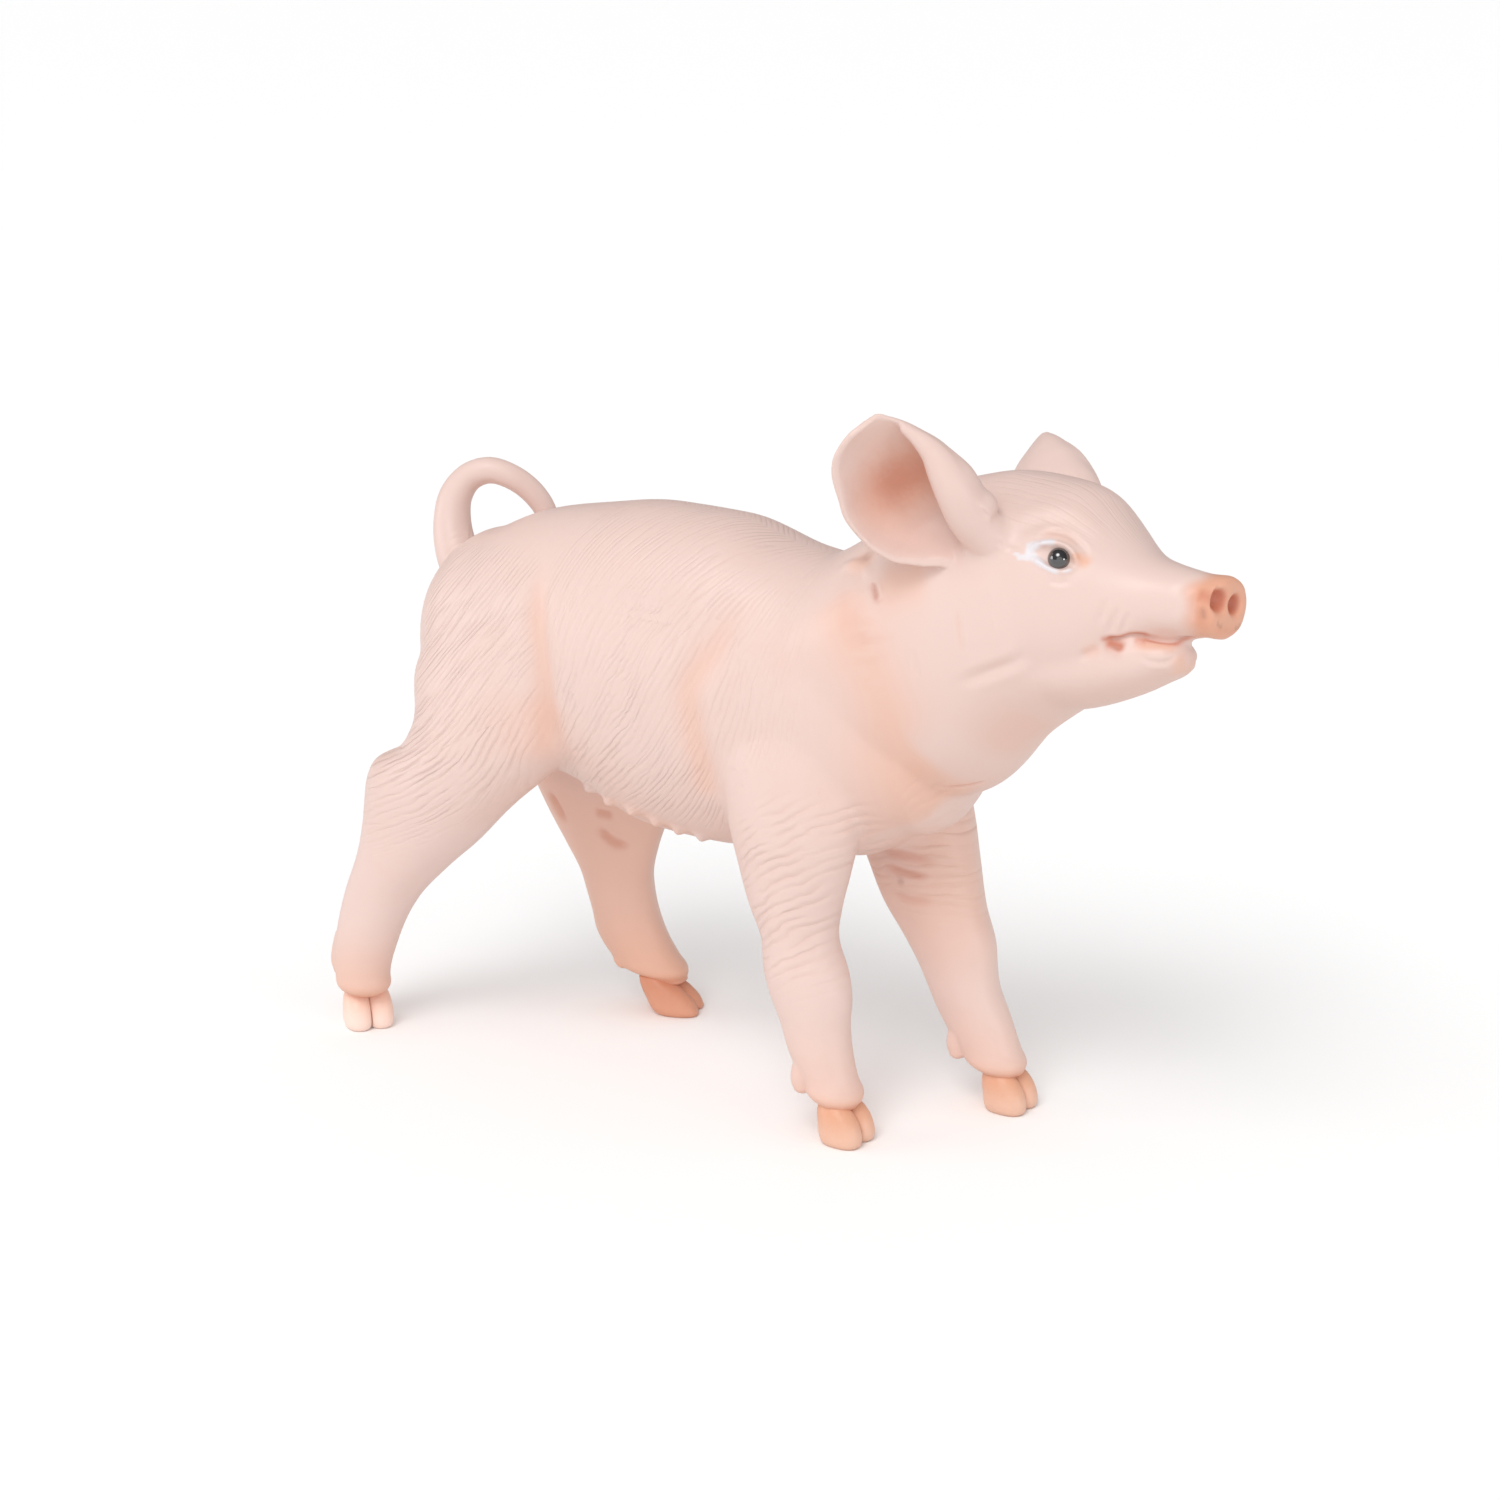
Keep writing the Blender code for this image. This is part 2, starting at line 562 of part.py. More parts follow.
# ---------------------------------------------------------------- the build
def build():
    for old in list(bpy.data.objects):
        bpy.data.objects.remove(old)
    bpy.context.scene.collection.children.link(CUTTERS)
    CUTTERS.hide_render = True

    flesh = melted_flesh()
    clearance = swollen(flesh, GAP)

    # Eyes: glass-like beads, each in a socket of its own.
    for name, side in (("eye_right", -1.0), ("eye_left", 1.0)):
        centre = from_head((EYE_AT[0], side * EYE_AT[1], EYE_AT[2]))
        for label, radius in ((name, EYE_RADIUS), (name + "_socket", EYE_RADIUS + GAP)):
            shape = bmesh.new()
            bmesh.ops.create_uvsphere(shape, u_segments=14, v_segments=9, radius=radius * MM)
            bmesh.ops.triangulate(shape, faces=shape.faces)
            shape.verts.ensure_lookup_table()
            points = np.array([v.co[:] for v in shape.verts]) / MM + centre
            faces = np.array([[v.index for v in face.verts] for face in shape.faces])
            shape.free()
            made = mesh_object(label, [(points, faces)], "eye", helper=label != name)
            if label != name:
                cut(flesh, made)

    # Ears stand on the head, clear of it by the parting.
    for name, (base, tip, hind, hand) in EARS.items():
        ear = mesh_object(name, [scroll(base, tip, hind, hand)])
        cut(ear, clearance)
        keep_largest(ear)

    # The tail curls over and its end rests on the rump; it is parted at the top of the curl.
    tail = mesh_object("tail_raw", [tail_form()], helper=True)
    cut(tail, clearance)
    cut(tail, slab("tail_parting", *TAIL_PARTING, (12.0, 12.0)))
    lengths = sorted(islands(tail), key=lambda part: -size_of(part))[:2]
    lengths.sort(key=lambda part: part[0][:, 0].mean())
    mesh_object("tail_root", [lengths[0]])
    mesh_object("tail_end", [lengths[1]])

    # Trotters: two claws each, under a level coronet.
    ceiling = box("ceiling", (-80, -40, CORONET_HEIGHT - GAP / 2), (80, 40, 30))
    for name, (at, turn) in TROTTERS.items():
        for word, side in (("outer", -1.0), ("inner", 1.0)):
            hand = side if name.endswith("right") else -side
            hoof = mesh_object("hoof_" + name + "_" + word, [claw(at, turn, hand)], "hoof")
            cut(hoof, ceiling)
    cut(flesh, box("floor", (-80, -40, -5), (80, 40, CORONET_HEIGHT + GAP / 2)))

    # Partings of the flesh.
    ahead = HEAD_AXES[:, 0]
    plates = [
        slab("breast", (22.5, 0.0, 57.5), (0.866, 0.0, 0.50), (60.0, 60.0)),
        slab("nape", (36.5, -1.5, 66.5), (0.92, -0.14, 0.37), (60.0, 60.0)),
        slab("muzzle", from_head((17.3, 0, 1.3)), ahead, (14.0, 14.0)),
        slab("elbow_right", (12.0, -10.3, 36.2), (-0.2, 0.5, 1.0), (20.0, 23.0)),
        slab("elbow_left", (19.0, 9.2, 34.8), (0.0, -0.5, 1.0), (20.0, 26.0)),
        slab("stifle_right", (-37.0, -11.0, 39.5), (0.0, 0.4, 1.0), (17.0, 36.0)),
        slab("stifle_left", (-31.5, 10.6, 39.0), (0.15, -0.4, 1.0), (19.5, 36.0)),
    ]
    for plate in plates:
        cut(flesh, plate)
    bodies = [part for part in islands(flesh) if size_of(part) > 2.0]
    marks = {
        "trunk": (-5.0, 0.0, 54.0),
        "neck": (29.0, -0.5, 62.0),
        "head": tuple(from_head((2.0, 0.0, 0.0))),
        "snout": tuple(from_head((19.0, 0.0, 1.3))),
        "leg_front_right": (15.0, -10.5, 20.0),
        "leg_front_left": (25.0, 8.6, 20.0),
        "leg_hind_right": (-48.0, -11.2, 22.0),
        "leg_hind_left": (-29.0, 12.5, 20.0),
    }
    for name, mark in marks.items():
        nearest = min(bodies, key=lambda part: np.linalg.norm(part[0].mean(0) - np.array(mark)))
        bodies = [part for part in bodies if part is not nearest]
        mesh_object(name, [nearest], "nose" if name == "snout" else "flesh")
    print("flesh bodies left over:", len(bodies))
    centre_model()


def keep_largest(made):
    largest = max(islands(made), key=size_of)
    points, faces = largest
    mesh = bpy.data.meshes.new(made.name)
    mesh.from_pydata((points * MM).tolist(), [], faces.tolist())
    mesh.materials.append(made.data.materials[0])
    made.data = mesh


def centre_model():
    """Puts the middle of the whole model's footprint at the origin."""
    parts = [made for made in bpy.context.scene.collection.objects if made.type == "MESH"]
    corners = np.array([v.co[:] for made in parts for v in made.data.vertices])
    middle = (corners.min(0) + corners.max(0)) / 2
    shift = Matrix.Translation((-middle[0], -middle[1], -corners[:, 2].min()))
    for made in parts:
        made.data.transform(shift)
    print("shift mm", (-middle[0] / MM, -middle[1] / MM, -corners[:, 2].min() / MM))


build()
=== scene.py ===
"""A walking piglet figurine in hand-painted moulded vinyl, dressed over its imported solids.

Lengths are in millimetres in the figurine's own layout: +X the way the piglet walks, +Y its left
side, +Z up, the soles on z = 0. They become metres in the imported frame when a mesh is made.
"""

import logging
from dataclasses import dataclass, replace
from enum import Enum
from math import cos, pi, radians, sin
from typing import Callable, Sequence

import bpy
import numpy as np
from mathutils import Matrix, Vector
from mathutils.bvhtree import BVHTree


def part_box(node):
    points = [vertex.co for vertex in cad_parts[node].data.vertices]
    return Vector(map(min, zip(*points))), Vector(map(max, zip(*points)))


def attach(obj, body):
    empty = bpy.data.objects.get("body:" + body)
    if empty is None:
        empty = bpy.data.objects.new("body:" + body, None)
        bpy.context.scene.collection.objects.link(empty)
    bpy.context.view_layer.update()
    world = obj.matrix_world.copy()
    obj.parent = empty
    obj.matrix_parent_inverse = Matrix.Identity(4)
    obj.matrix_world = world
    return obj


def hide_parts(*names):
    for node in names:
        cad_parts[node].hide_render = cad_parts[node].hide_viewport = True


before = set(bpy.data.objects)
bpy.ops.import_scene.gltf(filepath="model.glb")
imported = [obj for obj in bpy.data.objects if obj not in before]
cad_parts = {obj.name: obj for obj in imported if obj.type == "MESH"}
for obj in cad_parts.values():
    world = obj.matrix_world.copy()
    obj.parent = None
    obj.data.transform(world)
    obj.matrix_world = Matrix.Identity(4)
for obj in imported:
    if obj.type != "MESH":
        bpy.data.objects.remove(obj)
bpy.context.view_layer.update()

LOG = logging.getLogger("piglet")
Array = np.ndarray
Surface = tuple[Array, Array]
Colour = tuple[float, float, float, float]
Point = tuple[float, float, float]
Line = tuple[Point, ...]
Rows = tuple[tuple[float, ...], ...]

MM = 0.001
TINY = 1e-12
LEVEL = (0.0, 0.0, 1.0)       # normal of level slices, and the way up
AHEAD = (1.0, 0.0, 0.0)       # normal of slices across the body, and the way ahead


class Hand(Enum):
    """Which side of the piglet a thing is on, as the sign of its y."""

    RIGHT = -1.0
    LEFT = 1.0


# ---------------------------------------------------------------- curves and sections
def unit(vectors: Array) -> Array:
    """Vectors divided by their own lengths."""
    return vectors / np.maximum(np.linalg.norm(vectors, axis=-1, keepdims=True), TINY)


def smooth(value: Array, low: float, high: float) -> Array:
    """An easing step 3t^2 - 2t^3 from 0 at low to 1 at high, which may be the lesser of the two."""
    t = np.clip((value - low) / (high - low), 0.0, 1.0)
    return t * t * (3.0 - 2.0 * t)


def bell(value: Array, middle: float | Array, width: float | Array) -> Array:
    """exp(-((value - middle) / width)^2)."""
    return np.exp(-(((value - middle) / width) ** 2))


def mileage(points: Array) -> Array:
    """The way walked along a line by the time that each of its points is reached."""
    return np.concatenate([[0.0], np.cumsum(np.linalg.norm(np.diff(points, axis=0), axis=1))])


def through(knots: Array, values: Array, where: Array, steady: Array) -> Array:
    """A Hermite cubic through the stations; steady columns never overshoot a station.

    Args:
        knots: Place of each station along the path.
        values: One row of numbers for each station.
        where: Places at which rows are wanted.
        steady: For each column, whether its slopes are harmonic means of its neighbours'.

    Returns:
        One row for each wanted place.
    """
    step = np.diff(knots)[:, None]
    rise = np.diff(values, axis=0) / step
    slope = np.concatenate([rise[:1], rise[:-1], rise[-1:]])
    plain = (step[1:] * rise[:-1] + step[:-1] * rise[1:]) / (step[1:] + step[:-1])
    same = rise[:-1] * rise[1:] > TINY
    near = np.where(same, rise[:-1], 1.0)
    far = np.where(same, rise[1:], 1.0)
    first = 2 * step[1:] + step[:-1]
    second = step[1:] + 2 * step[:-1]
    gentle = np.where(same, (first + second) / (first / near + second / far), 0.0)
    slope[1:-1] = np.where(steady[None, :], gentle, plain)
    i = np.clip(np.searchsorted(knots, where, side="right") - 1, 0, len(knots) - 2)
    h = (knots[i + 1] - knots[i])[:, None]
    t = (where - knots[i])[:, None] / h
    out = (2 * t**3 - 3 * t**2 + 1) * values[i]
    out += (t**3 - 2 * t**2 + t) * h * slope[i]
    out += (3 * t**2 - 2 * t**3) * values[i + 1]
    out += (t**3 - t**2) * h * slope[i + 1]
    return out


def drawn(line: Sequence[Sequence[float]], pace: float = 0.7) -> Array:
    """A line through a few given points, filled in by a Hermite cubic.

    Args:
        line: The points that the line passes.
        pace: About how far apart the points of the answer are.

    Returns:
        Points along the line, one row each.
    """
    rows = np.array(line, float)
    if len(rows) < 2:
        return rows
    knots = mileage(rows)
    where = np.linspace(0.0, knots[-1], max(3, int(knots[-1] / pace) + 1))
    return through(knots, rows, where, np.zeros(rows.shape[1], bool))


def outward(points: Array, faces: Array) -> Array:
    """Faces turned round if the volume under them, a sum of triple products, is negative.

    Args:
        points: The surface's points.
        faces: Its triangles, all wound alike.

    Returns:
        The triangles, wound so that they face outwards.
    """
    a, b, c = (points[faces[:, k]] for k in range(3))
    inside_out = np.einsum("ij,ij->", np.cross(a, b), c) < 0
    return faces[:, ::-1] if inside_out else faces


def halved(quads: Array) -> Array:
    """Each quadrangle as two triangles."""
    return np.concatenate([quads[:, [0, 1, 2]], quads[:, [0, 2, 3]]])


def ring_faces(count: int, n: int) -> Array:
    """Triangles between neighbouring closed rings, and a fan at either tip.

    Args:
        count: Number of rings; the two tips are the points that follow them.
        n: Points in each ring.

    Returns:
        The triangles.
    """
    j = np.arange(n)
    one = np.arange(count - 1)[:, None] * n + j
    two = np.arange(count - 1)[:, None] * n + (j + 1) % n
    quads = np.stack([one, two, two + n, one + n], -1).reshape(-1, 4)
    last = (count - 1) * n
    start = np.stack([np.full(n, count * n), (j + 1) % n, j], -1)
    end = np.stack([np.full(n, count * n + 1), last + j, last + (j + 1) % n], -1)
    return np.concatenate([halved(quads), start, end])


def grid_normals(grid: Array) -> Array:
    """Unit normals of a grid of points, from its differences both ways."""
    return unit(np.cross(np.gradient(grid, axis=0), np.gradient(grid, axis=1)))


def leaf(middle: Array, half: Array) -> Surface:
    """A closed sheet: each point of a grid moved out along the grid's normal to either face.

    Args:
        middle: Grid of points half way through the sheet.
        half: Half thickness at each of them.

    Returns:
        The sheet's points and triangles.
    """
    rows, columns = middle.shape[:2]
    count = rows * columns
    shift = grid_normals(middle) * half[..., None]
    points = np.concatenate([(middle + shift).reshape(-1, 3), (middle - shift).reshape(-1, 3)])
    a = np.arange(rows - 1)[:, None] * columns + np.arange(columns - 1)
    face = np.stack([a, a + 1, a + columns + 1, a + columns], -1).reshape(-1, 4)
    lower = np.arange(columns)
    right = np.arange(1, rows) * columns + columns - 1
    upper = (rows - 1) * columns + np.arange(columns - 2, -1, -1)
    left = np.arange(rows - 2, 0, -1) * columns
    edge = np.concatenate([lower, right, upper, left])
    after = np.roll(edge, -1)
    wall = np.stack([edge, after, after + count, edge + count], -1)[:, ::-1]
    return points, outward(points, halved(np.concatenate([face, face[:, ::-1] + count, wall])))


def turned(points: Array, degrees: float) -> Array:
    """Points turned about the upright axis."""
    a = radians(degrees)
    return points @ np.array([[cos(a), -sin(a), 0.0], [sin(a), cos(a), 0.0], [0.0, 0.0, 1.0]]).T


@dataclass(frozen=True)
class Loft:
    """A closed body: superelliptical sections along a path, rounded off past either end.

    Each station is x, y, z, half width, half height above, half height below, and, where it
    needs its own, the exponent of its section and its roll about the path in degrees.
    """

    stations: Rows
    reference: Point = LEVEL
    caps: tuple[float, float] = (0.0, 0.0)
    around: int = 32
    pace: float = 1.2
    plane: Point | None = None
    power: float = 2.0

    def surface(self) -> Surface:
        """Points of the rings and of the two tips, with their triangles.

        A ring is centre + w sgn(cos a)|cos a|^(2/n) left + h sgn(sin a)|sin a|^(2/n) top, for the
        angle a round the section and the place along the path; caps shrink it by a cosine.

        Returns:
            The body's points and triangles.
        """
        rows = np.array([tuple(s) + (self.power, 0.0)[len(s) - 6:] for s in self.stations], float)
        knots = mileage(rows[:, :3])
        steady = np.array([False] * 3 + [True] * 5)
        where = np.linspace(0, knots[-1], max(4, int(knots[-1] / self.pace)) + 1)
        small = 1e-3 * knots[-1]
        flow, ahead, behind = (through(knots, rows, np.clip(where + shift, 0, knots[-1]), steady)
                               for shift in (0.0, small, -small))
        heading = unit(ahead[:, :3] - behind[:, :3])
        tips = np.array([flow[0, :3] - self.caps[0] * heading[0],
                         flow[-1, :3] + self.caps[1] * heading[-1]])
        flow, heading, shrink = self._capped(flow, heading)
        points = np.concatenate([self._rings(flow, heading, shrink).reshape(-1, 3), tips])
        return points, outward(points, ring_faces(len(flow), self.around))

    def _capped(self, flow: Array, heading: Array) -> tuple[Array, Array, Array]:
        """Rows added past the ends, sin(t) of the cap further on and cos(t) as wide.

        Args:
            flow: One row for each ring.
            heading: The path's direction at each.

        Returns:
            Both of these with the caps' rows, and how much each ring shrinks.
        """
        shrink = np.ones(len(flow))
        swing = np.linspace(0, pi / 2, 7)[1:-1]
        for cap, way in zip(self.caps, (-1.0, 1.0)):
            flow, heading, shrink = flow[::-1], heading[::-1], shrink[::-1]
            if cap > 0:
                extra = np.repeat(flow[-1:], len(swing), 0)
                extra[:, :3] += way * cap * np.sin(swing)[:, None] * heading[-1]
                flow = np.concatenate([flow, extra])
                heading = np.concatenate([heading, np.repeat(heading[-1:], len(swing), 0)])
                shrink = np.concatenate([shrink, np.cos(swing)])
        return flow, heading, shrink

    def _rings(self, flow: Array, heading: Array, shrink: Array) -> Array:
        """The superelliptical rings.

        Args:
            flow: One row for each ring.
            heading: The path's direction at each.
            shrink: How much each ring shrinks.

        Returns:
            A grid of points, one row for each ring.
        """
        if self.plane is not None:
            heading = np.repeat(np.asarray(self.plane, float)[None], len(flow), 0)
        lateral = -unit(np.cross(heading, np.asarray(self.reference, float)))
        upright = -np.cross(lateral, heading)
        roll = np.radians(flow[:, 7])[:, None]
        left = lateral * np.cos(roll) - upright * np.sin(roll)
        top = upright * np.cos(roll) + lateral * np.sin(roll)
        angle = 2 * pi * np.arange(self.around) / self.around
        power = (2.0 / flow[:, 6])[:, None]
        across, along = (np.sign(part) * np.abs(part) ** power
                         for part in (np.cos(angle), np.sin(angle)))
        height = np.where(np.sin(angle) > 0, flow[:, 4:5], flow[:, 5:6])
        wide = (shrink[:, None] * flow[:, 3:4] * across)[..., None] * left[:, None, :]
        high = (shrink[:, None] * height * along)[..., None] * top[:, None, :]
        return flow[:, None, :3] + wide + high


# ---------------------------------------------------------------- the layout
@dataclass(frozen=True)
class HeadFrame:
    """The head's own frame: ahead, left and top, turned and cocked on the neck."""

    centre: Point = (45.0, -2.5, 70.0)
    yaw: float = 9.0
    roll: float = 13.0

    def axes(self) -> Array:
        """Columns ahead, left and top in the figurine's layout."""
        yaw = radians(self.yaw)
        roll = radians(self.roll)
        up = np.array(LEVEL)
        ahead = np.array([cos(yaw), -sin(yaw), 0.0])
        level = np.array([sin(yaw), cos(yaw), 0.0])
        return np.stack([ahead, level * cos(roll) - up * sin(roll), up * cos(roll) + level * sin(roll)], 1)

    def to_body(self, points: Sequence[Sequence[float]] | Array) -> Array:
        """Points of the head's frame in the figurine's layout."""
        return np.asarray(self.centre) + np.asarray(points, float) @ self.axes().T

    def to_head(self, points: Array) -> Array:
        """Points of the figurine's layout in the head's frame."""
        return (points - np.asarray(self.centre)) @ self.axes()


@dataclass(frozen=True)
class Place:
    """Where the figurine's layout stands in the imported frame."""

    shift: Point

    @classmethod
    def from_eye(cls, head: HeadFrame, eye: Point) -> "Place":
        """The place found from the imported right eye.

        Args:
            head: The head's frame.
            eye: Centre of the right eye in the head's frame.

        Returns:
            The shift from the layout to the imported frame.
        """
        low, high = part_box("eye_right")
        middle = (np.array(low) + np.array(high)) / 2 / MM
        offset = middle - head.to_body([eye])[0]
        return cls((float(offset[0]), float(offset[1]), 0.0))

    def metres(self, points: Array) -> Array:
        """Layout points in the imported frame, in metres."""
        return (points + np.asarray(self.shift)) * MM

    def millimetres(self, points: Array) -> Array:
        """Packed points, in metres, back in the layout."""
        return points / MM - np.asarray(self.shift)


# ---------------------------------------------------------------- meshes
def linked(name: str, data: bpy.types.ID) -> bpy.types.Object:
    """A new object of some data, in the scene.

    Args:
        name: The object's name.
        data: Its mesh, lamp or camera.

    Returns:
        The object, in the scene.
    """
    made = bpy.data.objects.new(name, data)
    bpy.context.scene.collection.objects.link(made)
    return made


def make_object(name: str, surfaces: Sequence[Surface], place: Place) -> bpy.types.Object:
    """One object of the given closed surfaces.

    Args:
        name: The piece's name.
        surfaces: Points and triangles of each surface, in millimetres.
        place: Where the layout stands in the frame.

    Returns:
        The new object, linked to the scene, with smooth shading.
    """
    points = np.concatenate([p for p, _ in surfaces])
    starts = np.cumsum([0] + [len(p) for p, _ in surfaces[:-1]])
    faces = np.concatenate([f + s for (_, f), s in zip(surfaces, starts)])
    mesh = bpy.data.meshes.new(name)
    mesh.from_pydata(place.metres(points).tolist(), [], faces.tolist())
    soften_shading(mesh)
    return linked(name, mesh)


def soften_shading(mesh: bpy.types.Mesh) -> None:
    """Marks every face of a mesh as smooth."""
    mesh.polygons.foreach_set("use_smooth", np.ones(len(mesh.polygons), bool))
    mesh.update()


def settle(made: bpy.types.Object) -> None:
    """Replaces an object's mesh by its mesh after modifiers.

    Args:
        made: The object; its mesh is replaced.
    """
    bpy.context.view_layer.update()
    evaluated = made.evaluated_get(bpy.context.evaluated_depsgraph_get())
    mesh = bpy.data.meshes.new_from_object(evaluated)
    made.modifiers.clear()
    old = made.data
    made.data = mesh
    bpy.data.meshes.remove(old)


def melt(made: bpy.types.Object, voxel: float, passes: int) -> None:
    """Runs overlapping bodies together on a grid and softens where they meet.

    Args:
        made: The object; its mesh is replaced.
        voxel: Grid step in millimetres.
        passes: How many times each point moves half way to its neighbours' mean.
    """
    run = made.modifiers.new("melt", "REMESH")
    run.mode = "VOXEL"
    run.voxel_size = voxel * MM
    soften = made.modifiers.new("soften", "SMOOTH")
    soften.factor = 0.5
    soften.iterations = passes
    settle(made)


def read_rows(items: Sequence[object], field: str, kind: type = np.float32) -> Array:
    """Three numbers of each of a mesh's points, normals or triangles, one row each.

    Args:
        items: A collection of the mesh.
        field: The field that is read.
        kind: The kind of number.

    Returns:
        One row of three numbers for each item.
    """
    flat = np.empty(len(items) * 3, kind)
    items.foreach_get(field, flat)
    return flat.reshape(-1, 3)


def read_points(mesh: bpy.types.Mesh, place: Place) -> Array:
    """The mesh's points in the figurine's layout."""
    return place.millimetres(read_rows(mesh.vertices, "co").astype(float))


def read_triangles(mesh: bpy.types.Mesh) -> Array:
    """The mesh's triangles as rows of point numbers."""
    mesh.calc_loop_triangles()
    return read_rows(mesh.loop_triangles, "vertices", np.int32)


def write_colour(mesh: bpy.types.Mesh, name: str, columns: Sequence[Array]) -> None:
    """Stores three columns of numbers, for each point, as a named colour attribute.

    Args:
        mesh: The mesh.
        name: The attribute's name, which the material reads.
        columns: The three columns.
    """
    rows = np.stack([*columns, np.ones(len(mesh.vertices))], 1).astype(np.float32)
    mesh.attributes.new(name, "FLOAT_COLOR", "POINT").data.foreach_set("color", rows.ravel())


def write_vector(mesh: bpy.types.Mesh, name: str, rows: Array) -> None:
    """Stores a row of three numbers for each point as a named vector attribute."""
    flat = rows.astype(np.float32).ravel()
    mesh.attributes.new(name, "FLOAT_VECTOR", "POINT").data.foreach_set("vector", flat)


# ---------------------------------------------------------------- marks on the skin
def gap_to_line(points: Array, line: Array, limit: float) -> tuple[Array, Array, Array]:
    """How far points are from a line of short straight runs.

    Args:
        points: Points to measure.
        line: The line's points in order.
        limit: Points further than this are left out.

    Returns:
        Which points are near, how far each is, and its place along the line from 0 to 1.
    """
    within = (points > line.min(0) - limit) & (points < line.max(0) + limit)
    near = np.nonzero(np.all(within, axis=1))[0]
    chosen = points[near]
    if len(line) == 1:
        return near, np.linalg.norm(chosen - line[0], axis=1), np.full(len(near), 0.5)
    best = np.full(len(near), np.inf)
    place = np.zeros(len(near))
    starts = mileage(line)
    for k, length in enumerate(np.linalg.norm(np.diff(line, axis=0), axis=1)):
        run = line[k + 1] - line[k]
        t = np.clip(((chosen - line[k]) @ run) / max(length * length, TINY), 0.0, 1.0)
        gap = np.linalg.norm(chosen - line[k] - t[:, None] * run, axis=1)
        place = np.where(gap < best, (starts[k] + t * length) / starts[-1], place)
        best = np.minimum(gap, best)
    return near, best, place


def fade(place: Array, ends: tuple[float, float]) -> Array:
    """A mark's strength along its line, rising over the first share and falling over the last."""
    shares = [smooth(way, -1e-6, end) for way, end in zip((place, 1.0 - place), ends) if end > 0]
    return np.prod([np.ones_like(place), *shares], axis=0)


@dataclass
class Hide:
    """The skin's surface while it is worked on, in millimetres."""

    points: Array
    normals: Array
    tree: BVHTree

    @classmethod
    def of(cls, mesh: bpy.types.Mesh, place: Place) -> "Hide":
        """The surface of a mesh, with its own search tree.

        Args:
            mesh: The mesh.
            place: Where the layout stands in the frame.

        Returns:
            Its points, normals and search tree, in the layout.
        """
        points = read_points(mesh, place)
        tree = BVHTree.FromPolygons(points.tolist(), read_triangles(mesh).tolist())
        return cls(points, read_rows(mesh.vertex_normals, "vector").astype(float), tree)

    def laid(self, line: Sequence[Sequence[float]]) -> Array:
        """The filled-in line, each point moved to the nearest place of the surface."""
        return np.array([self.tree.find_nearest(Vector(p))[0][:] for p in drawn(line)])


@dataclass(frozen=True)
class Furrow:
    """A line pressed into the skin, or raised where its depth is negative, with soft banks."""

    line: Line
    width: float
    depth: float
    ends: tuple[float, float] = (0.35, 0.35)
    bank: float = 0.25

    def press(self, hide: Hide, depth: Array) -> None:
        """Adds depth exp(-(d/w)^2) less a bank of the same shape 1.9 w away.

        Args:
            hide: The surface that is worked on.
            depth: How far each point is pushed in, changed in place.
        """
        width = self.width
        near, gap, place = gap_to_line(hide.points, hide.laid(self.line), 3.6 * width)
        shape = bell(gap, 0.0, width) - self.bank * bell(gap, 1.9 * width, 0.9 * width)
        depth[near] += self.depth * shape * fade(place, self.ends)


@dataclass(frozen=True)
class Hollow:
    """An oval pit pushed straight in: centre, two half axes and the way it goes in."""

    centre: Point
    first: Point
    second: Point
    inward: Point
    depth: float
    steep: float = 3.0
    facing: float = -0.3
    reach: float = 2.5

    def push(self, hide: Hide, moved: Array) -> None:
        """Adds depth exp(-(q^2)^steep) along the way in, q being 1 on the oval.

        Args:
            hide: The surface that is worked on.
            moved: Displacement of each point, changed in place.
        """
        away = hide.points - np.asarray(self.centre)
        inward = unit(np.asarray(self.inward, float))
        axes = (np.asarray(self.first), np.asarray(self.second))
        square = sum((away @ axis / (axis @ axis)) ** 2 for axis in axes)
        share = np.exp(-(np.minimum(square, 9.0) ** self.steep)) * (np.abs(away @ inward) < self.reach)
        share = share * smooth(-(hide.normals @ inward), self.facing, self.facing + 0.3)
        moved += self.depth * share[:, None] * inward


class Paint(Enum):
    """The paints that are sprayed or brushed over the pink; apricot also lays painted shade under the belly
    and the right ear.
    """

    APRICOT = 0
    ORANGE = 1
    BROWN = 2
    WHITE = 3
    RED = 4


Cover = dict[Paint, Array]


@dataclass(frozen=True)
class Spray:
    """Paint sprayed or brushed along a line, thinning out to either side."""

    paint: Paint
    line: Line
    width: float
    strength: float
    ends: tuple[float, float] = (0.3, 0.3)
    hardness: float = 2.0

    def lay(self, hide: Hide, cover: Cover) -> None:
        """Covers what is left bare by strength exp(-(d/w)^hardness).

        Args:
            hide: The surface that is painted.
            cover: Cover of each point by each paint, changed in place.
        """
        near, gap, place = gap_to_line(hide.points, hide.laid(self.line), 2.6 * self.width)
        share = self.strength * np.exp(-((gap / self.width) ** self.hardness))
        add_paint(cover[self.paint], near, share * fade(place, self.ends))


Mark = Furrow | Spray


def add_paint(cover: Array, where: Array | slice, share: Array) -> None:
    """Lays a share of paint over what is still bare."""
    cover[where] = 1.0 - (1.0 - cover[where]) * (1.0 - np.clip(share, 0.0, 1.0))


def mirrored(line: Line) -> Line:
    """The same line on the other side of the middle plane."""
    return tuple((x, -y, z) for x, y, z in line)


def on_both_sides(marks: Sequence[Mark], placed: Callable[[Line], Line] = tuple) -> list[Mark]:
    """Each mark of the right side, and its mirror image, after both are placed."""
    return [replace(mark, line=placed(line)) for mark in marks for line in (mark.line, mirrored(mark.line))]


# ---------------------------------------------------------------- the animal's forms
SECTION = 2.1                 # exponent of the sections of trunk, neck and head


